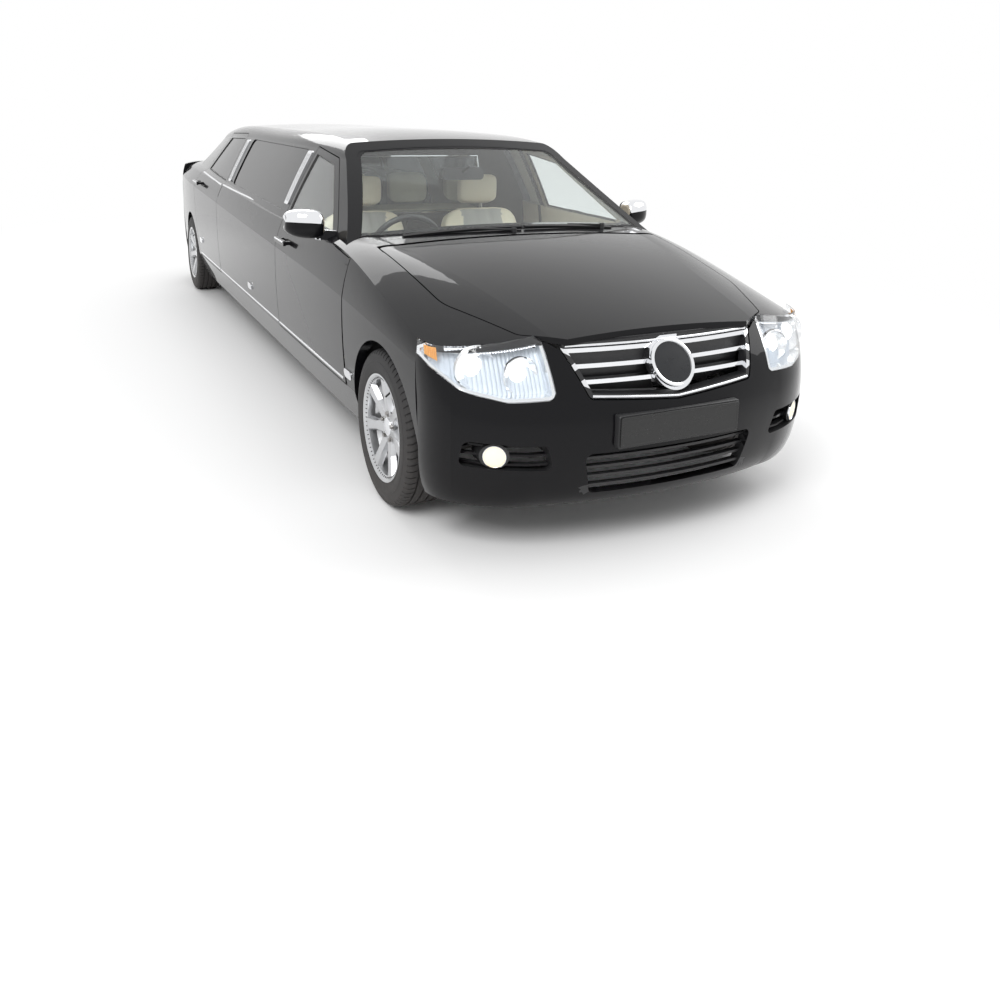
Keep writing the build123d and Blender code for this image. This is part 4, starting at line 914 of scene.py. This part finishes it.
# Door mirrors and handles
mirror_rings = (
    (0.8500, front_axle + 0.878, 0.041, 0.043, 1.026), (0.8580, front_axle + 0.879, 0.054, 0.056, 1.028),
    (0.8700, front_axle + 0.881, 0.0585, 0.0605, 1.030), (0.8850, front_axle + 0.884, 0.061, 0.063, 1.031),
    (0.9100, front_axle + 0.889, 0.0622, 0.0647, 1.033), (0.9350, front_axle + 0.895, 0.062, 0.065, 1.034),
    (0.9600, front_axle + 0.904, 0.0585, 0.0625, 1.035), (0.9780, front_axle + 0.912, 0.054, 0.059, 1.036),
    (0.9900, front_axle + 0.9185, 0.0485, 0.054, 1.0365), (1.0000, front_axle + 0.925, 0.042, 0.048, 1.037),
    (1.0080, front_axle + 0.931, 0.0335, 0.0405, 1.037), (1.0130, front_axle + 0.934, 0.024, 0.032, 1.037),
)
mirror_skin = 0.0022
mirror_glass = (0.930, front_axle + 0.9585, 1.034)
mirror_glass_half = (0.070, 0.053)
mirror_glass_slope = 0.20


def mirror_point(ring, angle, s, skin):
    """Point on the rounded shell of a mirror head: angle 0 is straight ahead, pi/2 is up."""
    x, y, half_length, half_height, z = ring
    c, v = cos(angle), sin(angle)
    soft = (abs(c) ** 2.9 + abs(v) ** 2.9) ** (-1 / 2.9)
    return Vector((s * x, y - c * soft * (half_length + skin), z + v * soft * (half_height + skin)))


def build_mirrors():
    """Bright upper shell, lower shell and mirror glass on each mirror head."""
    for side, s in sides:
        body = f"front_door_{side}"
        for name, first, last, finish, slot in (("upper", 0.045, 0.80, chrome, "chrome"),
                                                ("lower", -0.80, 0.035, gloss_paint, "paint_black")):
            shape = Shape()
            rows = [[mirror_point(ring, pi * (first + (last - first) * i / 28), s, mirror_skin) for i in range(29)]
                    for ring in mirror_rings]
            shape.grid(rows)
            shape.cap(rows[-1])
            shape.make(f"mirror_{name}_shell_{side}", finish, body, slot, 50)
        glass = Shape()
        rows = []
        for share in (1.0, 0.94, 0.90, 0.5, 0.01):
            row = []
            for i in range(40):
                angle = 2 * pi * i / 40
                c, v = cos(angle), sin(angle)
                soft = (abs(c) ** 4 + abs(v) ** 4) ** -0.25
                x = mirror_glass[0] + mirror_glass_half[0] * c * soft * share
                z = mirror_glass[2] + mirror_glass_half[1] * v * soft * share
                sunk = 0.0025 if share < 0.93 else 0.04 * (1 - share)
                y = mirror_glass[1] + (x - mirror_glass[0]) * mirror_glass_slope + sunk
                row.append(Vector((s * x, y, z)))
            rows.append(row)
        glass.grid(rows, closed_row=True)
        glass.make(f"mirror_glass_{side}", bowl_mirror, body, "reflector", 30)


handle_places = (("front_door", front_axle + 1.390, 0.868), ("rear_door", rear_axle - 0.640, 0.960))


def build_handles():
    """Bright inlay along each pull handle."""
    for side, s in sides:
        for run, lead_y, z in handle_places:
            node = f"{run}_{side}"
            flank_strip(f"handle_inlay_{node}", node, node, s, (lead_y + 0.012, z + 0.006),
                        (lead_y + 0.193, z + 0.009), bead(0.0045, 0.0025))


# Seats
cushion_grid = 30
cushion_soft = 5.0
side_draw = 0.035
channel_depth = 0.009
channel_width = 0.010
panel_end = 0.93


def cushion(name, centre, across, along, up, crown, channels):
    """Stuffed pad with crowned faces, sides drawn in between the corners, and sewn channels on its outer face."""
    verts = []
    faces = []
    for fixed in range(3):
        for sign in (-1, 1):
            first = len(verts)
            for i in range(cushion_grid + 1):
                for j in range(cushion_grid + 1):
                    local = [0.0, 0.0, 0.0]
                    local[fixed] = sign
                    local[(fixed + 1) % 3] = -1 + 2 * i / cushion_grid
                    local[(fixed + 2) % 3] = -1 + 2 * j / cushion_grid
                    norm = sum(abs(c) ** cushion_soft for c in local) ** (1 / cushion_soft)
                    u, v, w = [c / norm for c in local]
                    draw = 1 - side_draw * (1 - w * w)
                    swell = crown * (1 - u * u) * (1 - v * v) * (1 if w > 0 else -0.35)
                    if w > 0.4:
                        for place in channels:
                            swell -= channel_depth * 2.718 ** (-((u - place) * across.length / channel_width) ** 2)
                    verts.append(centre + across * u * draw + along * v * draw + up * (w + swell / up.length))
            for i in range(cushion_grid):
                for j in range(cushion_grid):
                    a = first + i * (cushion_grid + 1) + j
                    faces.append((a, a + 1, a + cushion_grid + 2, a + cushion_grid + 1))
    made = piece(name, verts, faces, hide, "body", 60)
    made.data.materials.append(hide_panel)
    lines = [across.normalized(), along.normalized(), up.normalized()]
    for face in made.data.polygons:
        spot = face.center - centre
        wide = spot.dot(lines[0]) / across.length
        if channels and face.normal.dot(lines[2]) > 0.6 and channels[0] < wide < channels[-1]:
            if abs(spot.dot(lines[1])) < along.length * panel_end:
                face.material_index = 1
    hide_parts("seats")
    return made


def build_seat(name, x, width, front_y, facing, rests, channels):
    """Base pad, leaning back pad and headrests of one seat; facing is 1 to the front, -1 to the rear."""
    y = Vector((0, facing, 0))
    start = Vector((x, front_y, 0))
    cushion(f"{name}_base", start + y * 0.262 + Vector((0, 0, 0.415)), Vector((width / 2, 0, 0)),
            (y * 0.258 + Vector((0, 0, -0.020))), Vector((0, 0, 0.078)), 0.016, channels)
    lean = (y * 0.19 + Vector((0, 0, 0.60))).normalized()
    out = (Vector((0, 0, lean.dot(y))) - y * lean.z).normalized()
    cushion(f"{name}_back", start + y * 0.584 + Vector((0, 0, 0.700)), Vector((width / 2 - 0.008, 0, 0)),
            lean * 0.300, out * 0.066, 0.016, channels)
    for number, rest_x in enumerate(rests, 1):
        cushion(f"{name}_headrest_{number}", start + y * 0.680 + Vector((rest_x, 0, 1.096)), Vector((0.126, 0, 0)),
                Vector((0, 0, 0.086)), out * 0.038, 0.010, ())
    plinth = Shape()
    rows = []
    for z, grow in ((0.241, 1.0), (0.330, 1.0), (0.345, 0.97)):
        rows.append([start + y * (0.265 + v * 0.225 * grow) + Vector((u * (width / 2 - 0.02) * grow, 0, z))
                     for u, v in rounded_rectangle(1.0, 1.0, 0.10)])
    plinth.grid(rows, closed_row=True)
    plinth.cap(rows[-1])
    plinth.make(f"{name}_plinth", trim_dark, "body", "dark_trim", 40)


driver_x = -0.372


def build_seats():
    inner = (-0.52, -0.18, 0.18, 0.52)
    for side, s in (("driver", 1), ("passenger", -1)):
        build_seat(f"front_seat_{side}", s * driver_x, 0.52, front_axle + 1.080, 1, (0.0,), inner)
    wide = (-0.86, -0.60, -0.34, -0.10, 0.10, 0.34, 0.60, 0.86)
    build_seat("rear_bench", 0.0, 1.11, rear_axle - 0.900, 1, (driver_x, 0.0, -driver_x), wide)
    build_seat("facing_bench", 0.0, 1.24, front_axle + 2.662, -1, (driver_x, 0.0, -driver_x), wide)


# Cabin
marker_place = (rear_axle - 0.560, 0.500)
marker_half = (0.0490, 0.0210)


def inward(s):
    return lambda c, n: n.x * s < -0.45 and c.z > 0.37


def on_marker(c, n):
    return abs(c.y - marker_place[0]) < marker_half[0] and abs(c.z - marker_place[1]) < marker_half[1]


def build_cabin():
    dressed("roof_panel", "roof_dressed", [(lambda c, n: n.z < -0.35, headlining)], gloss_paint)
    floor_rules = [(lambda c, n: n.z > 0.8 and c.z < 0.46, carpet), (lambda c, n: c.y > 1.75 and c.z > 0.44, carpet)]
    dressed("floor_pan", "floor_dressed", floor_rules, under_seal)
    for side, s in sides:
        for end, _ in ends:
            node = f"{end}_door_{side}"
            rules = [(inward(s), door_card), (on_marker, chrome)]
            dressed(node, f"{node}_dressed", rules, gloss_paint)
    pillars = [(lambda c, n: n.x * (1 if c.x > 0 else -1) < -0.30, headlining)]
    dressed("body_sides", "body_sides_dressed", pillars, gloss_paint)
    walls = [(lambda c, n: n.x * (1 if c.x > 0 else -1) < -0.45 and c.z > 0.24, door_card)]
    dressed("sills", "sills_dressed", walls, gloss_paint)
    pane = Shape()
    y = front_axle + 1.910
    outline = [(-0.470, 0.950), (0.470, 0.950), (0.430, 1.290), (-0.430, 1.290)]
    rows = [[Vector((x, y + out, z)) for x, z in outline] for out in (-0.003, 0.003)]
    pane.grid(rows, closed_row=True)
    pane.cap(rows[0][::-1])
    pane.cap(rows[1])
    pane.make("partition_pane", window_glass, "body", "clear_glass", 30)
    edge = Shape()
    loop = even_steps([Vector((x, y, z)) for x, z in outline], 0.02, True)
    edge.tube(loop, [Vector((0, -1, 0))] * len(loop), bead(0.010, 0.024), closed=True)
    edge.make("partition_frame", chrome, "body", "chrome", 50)


wheel_hub = Vector((driver_x, front_axle + 1.030, 0.872))
wheel_axis = Vector((0, cos(radians(24)), sin(radians(24))))


def build_dash():
    """Hood over the instruments, vents and the steering wheel's pad."""
    pad = Shape()
    pad.lathe(wheel_hub + wheel_axis * 0.014, wheel_axis, (0, 0, 1), [
        (0.066, -0.020), (0.066, 0.002), (0.060, 0.008), (0.040, 0.013), (0.018, 0.0155), (0.0001, 0.016)], 40)
    pad.make("wheel_pad", moulding, "body", "black_plastic", 40)
    target = ray_target("dashboard")
    hood = Shape()
    rows = []
    for i in range(25):
        x = driver_x + 0.19 * (i / 12 - 1)
        rise = 0.048 * (1 - (i / 12 - 1) ** 4)
        row = []
        for j in range(9):
            at = j / 8
            yy = front_axle + 0.70 + 0.215 * at
            hit, _ = from_above(target, x, yy)
            base = hit.z if hit else 0.93
            row.append(Vector((x, yy, base + 0.001 + rise * sin(pi * (0.15 + 0.62 * at)))))
        rows.append(row)
    hood.grid(rows)
    hood.make("instrument_hood", moulding, "body", "black_plastic", 50)
    vents = Shape()
    for x in (-0.66, -0.09, 0.09, 0.66):
        for k in range(4):
            z = 0.845 + 0.016 * k
            y = front_axle + 0.937 - 0.35 * 0.016 * k
            path = [Vector((x + 0.055 * (i / 6 - 1), y, z)) for i in range(13)]
            vents.tube(path, [Vector((0, 1, 0.3)).normalized()] * len(path), bead(0.0040, 0.0030))
    vents.make("dash_vents", moulding, "body", "black_plastic", 40)


# Rear end
reverse_span = ((0.470, 0.690), (0.802, 0.846))


def rear_lens(name, target, s, finish, lift):
    """Flat band of a tail lamp laid on its outer face."""
    (x0, x1), (z0, z1) = reverse_span
    rows = []
    for i in range(25):
        row = []
        for j in range(5):
            start = Vector((s * (x0 + (x1 - x0) * i / 24), 4.6, z0 + (z1 - z0) * j / 4))
            hit, normal, _, _ = target.ray_cast(start, Vector((0, -1, 0)))
            row.append(hit + normal * lift)
        rows.append(row)
    shape = Shape()
    shape.grid(rows)
    shape.make(name, finish, "body", "lamp_clear", 40)


def build_rear():
    dressed("tail_lamps", "tail_lamps_dressed", [(lambda c, n: n.y < -0.3, bowl_mirror)], red_lens)
    lenses = ray_target("tail_lamps")
    for side, s in sides:
        rear_lens(f"reverse_lens_{side}", lenses, s, lamp_strip, 0.0012)
    target = ray_target("boot_lid")
    path = []
    for i in range(31):
        hit, _, _, _ = target.ray_cast(Vector((-0.40 + 0.80 * i / 30, 4.6, 0.895)), Vector((0, -1, 0)))
        if hit:
            path.append(hit)
    strip = Shape()
    strip.tube(path, [Vector((0, 1, 0))] * len(path), bead(0.0090, 0.0060))
    strip.make("boot_strip", chrome, "boot_lid", "chrome", 40)


# Pale floor and soft light
floor_color = (0.88, 0.88, 0.88)
floor_reach = 80.0
room_light = 0.72
light_aim = Vector((0, -1, 0.5))
floor_scale = (1.0, 0.62, 1.0)
floor_near = 2.4
floor_far = 5.0
lamps = (("key", (-6.0, -7.0, 7.5), 5.0, 620.0), ("fill", (7.0, -3.0, 6.0), 6.0, 300.0),
         ("back", (0.0, 8.0, 6.5), 6.0, 340.0))


def floor_material():
    """Pale floor that takes the car's shadow and fades to plain white away from it."""
    made = base_material("pale_floor", floor_color, 0.6, Specular_IOR_Level=0.1)
    tree = made.node_tree
    place = add(tree, "ShaderNodeTexCoord")
    oval = add(tree, "ShaderNodeVectorMath", operation="MULTIPLY")
    oval.inputs[1].default_value = floor_scale
    flat = add(tree, "ShaderNodeVectorMath", operation="LENGTH")
    fade = add(tree, "ShaderNodeMapRange", interpolation_type="SMOOTHSTEP")
    fade.inputs["From Min"].default_value = floor_near
    fade.inputs["From Max"].default_value = floor_far
    white = add(tree, "ShaderNodeEmission")
    mix = add(tree, "ShaderNodeMixShader")
    tree.links.new(place.outputs["Object"], oval.inputs[0])
    tree.links.new(oval.outputs["Vector"], flat.inputs[0])
    tree.links.new(flat.outputs["Value"], fade.inputs["Value"])
    tree.links.new(fade.outputs[0], mix.inputs["Fac"])
    tree.links.new(shader_of(made).outputs[0], mix.inputs[1])
    tree.links.new(white.outputs[0], mix.inputs[2])
    tree.links.new(mix.outputs[0], tree.nodes["Material Output"].inputs["Surface"])
    return made


def build_stage():
    scene = bpy.context.scene
    scene.view_settings.view_transform = "Standard"
    mesh = bpy.data.meshes.new("floor")
    corners = [(u * floor_reach, v * floor_reach, 0) for u, v in ((-1, -1), (1, -1), (1, 1), (-1, 1))]
    mesh.from_pydata(corners, [], [(0, 1, 2, 3)])
    mesh.materials.append(floor_material())
    floor = bpy.data.objects.new("floor", mesh)
    scene.collection.objects.link(floor)
    world = bpy.data.worlds.new("studio")
    world.use_nodes = True
    tree = world.node_tree
    sky = tree.nodes["Background"]
    sky.inputs["Color"].default_value = (1.0, 1.0, 1.0, 1)
    sky.inputs["Strength"].default_value = room_light
    white = add(tree, "ShaderNodeBackground")
    white.inputs["Color"].default_value = (1.0, 1.0, 1.0, 1)
    path = add(tree, "ShaderNodeLightPath")
    seen = math_node(tree, "MAXIMUM", path.outputs["Is Camera Ray"], path.outputs["Is Transmission Ray"])
    seen = math_node(tree, "MAXIMUM", seen, path.outputs["Is Glossy Ray"])
    mix = add(tree, "ShaderNodeMixShader")
    tree.links.new(seen, mix.inputs["Fac"])
    tree.links.new(sky.outputs[0], mix.inputs[1])
    tree.links.new(white.outputs[0], mix.inputs[2])
    tree.links.new(mix.outputs[0], tree.nodes["World Output"].inputs["Surface"])
    scene.world = world
    for name, place, size, power in lamps:
        data = bpy.data.lights.new(name, "AREA")
        data.size = size
        data.energy = power
        lamp = bpy.data.objects.new(name, data)
        aim = light_aim - Vector(place)
        lamp.matrix_world = Matrix.Translation(place) @ aim.to_track_quat("-Z", "Y").to_matrix().to_4x4()
        scene.collection.objects.link(lamp)


place_camera()
finish_nodes()
build_wheels()
build_headlamps()
build_fog_lamps()
build_grille()
build_plate()
build_bumper_finish()
build_flank_strips()
build_window_seals()
build_screen_bands()
build_mirrors()
build_handles()
build_seats()
build_cabin()
build_dash()
build_rear()
build_stage()
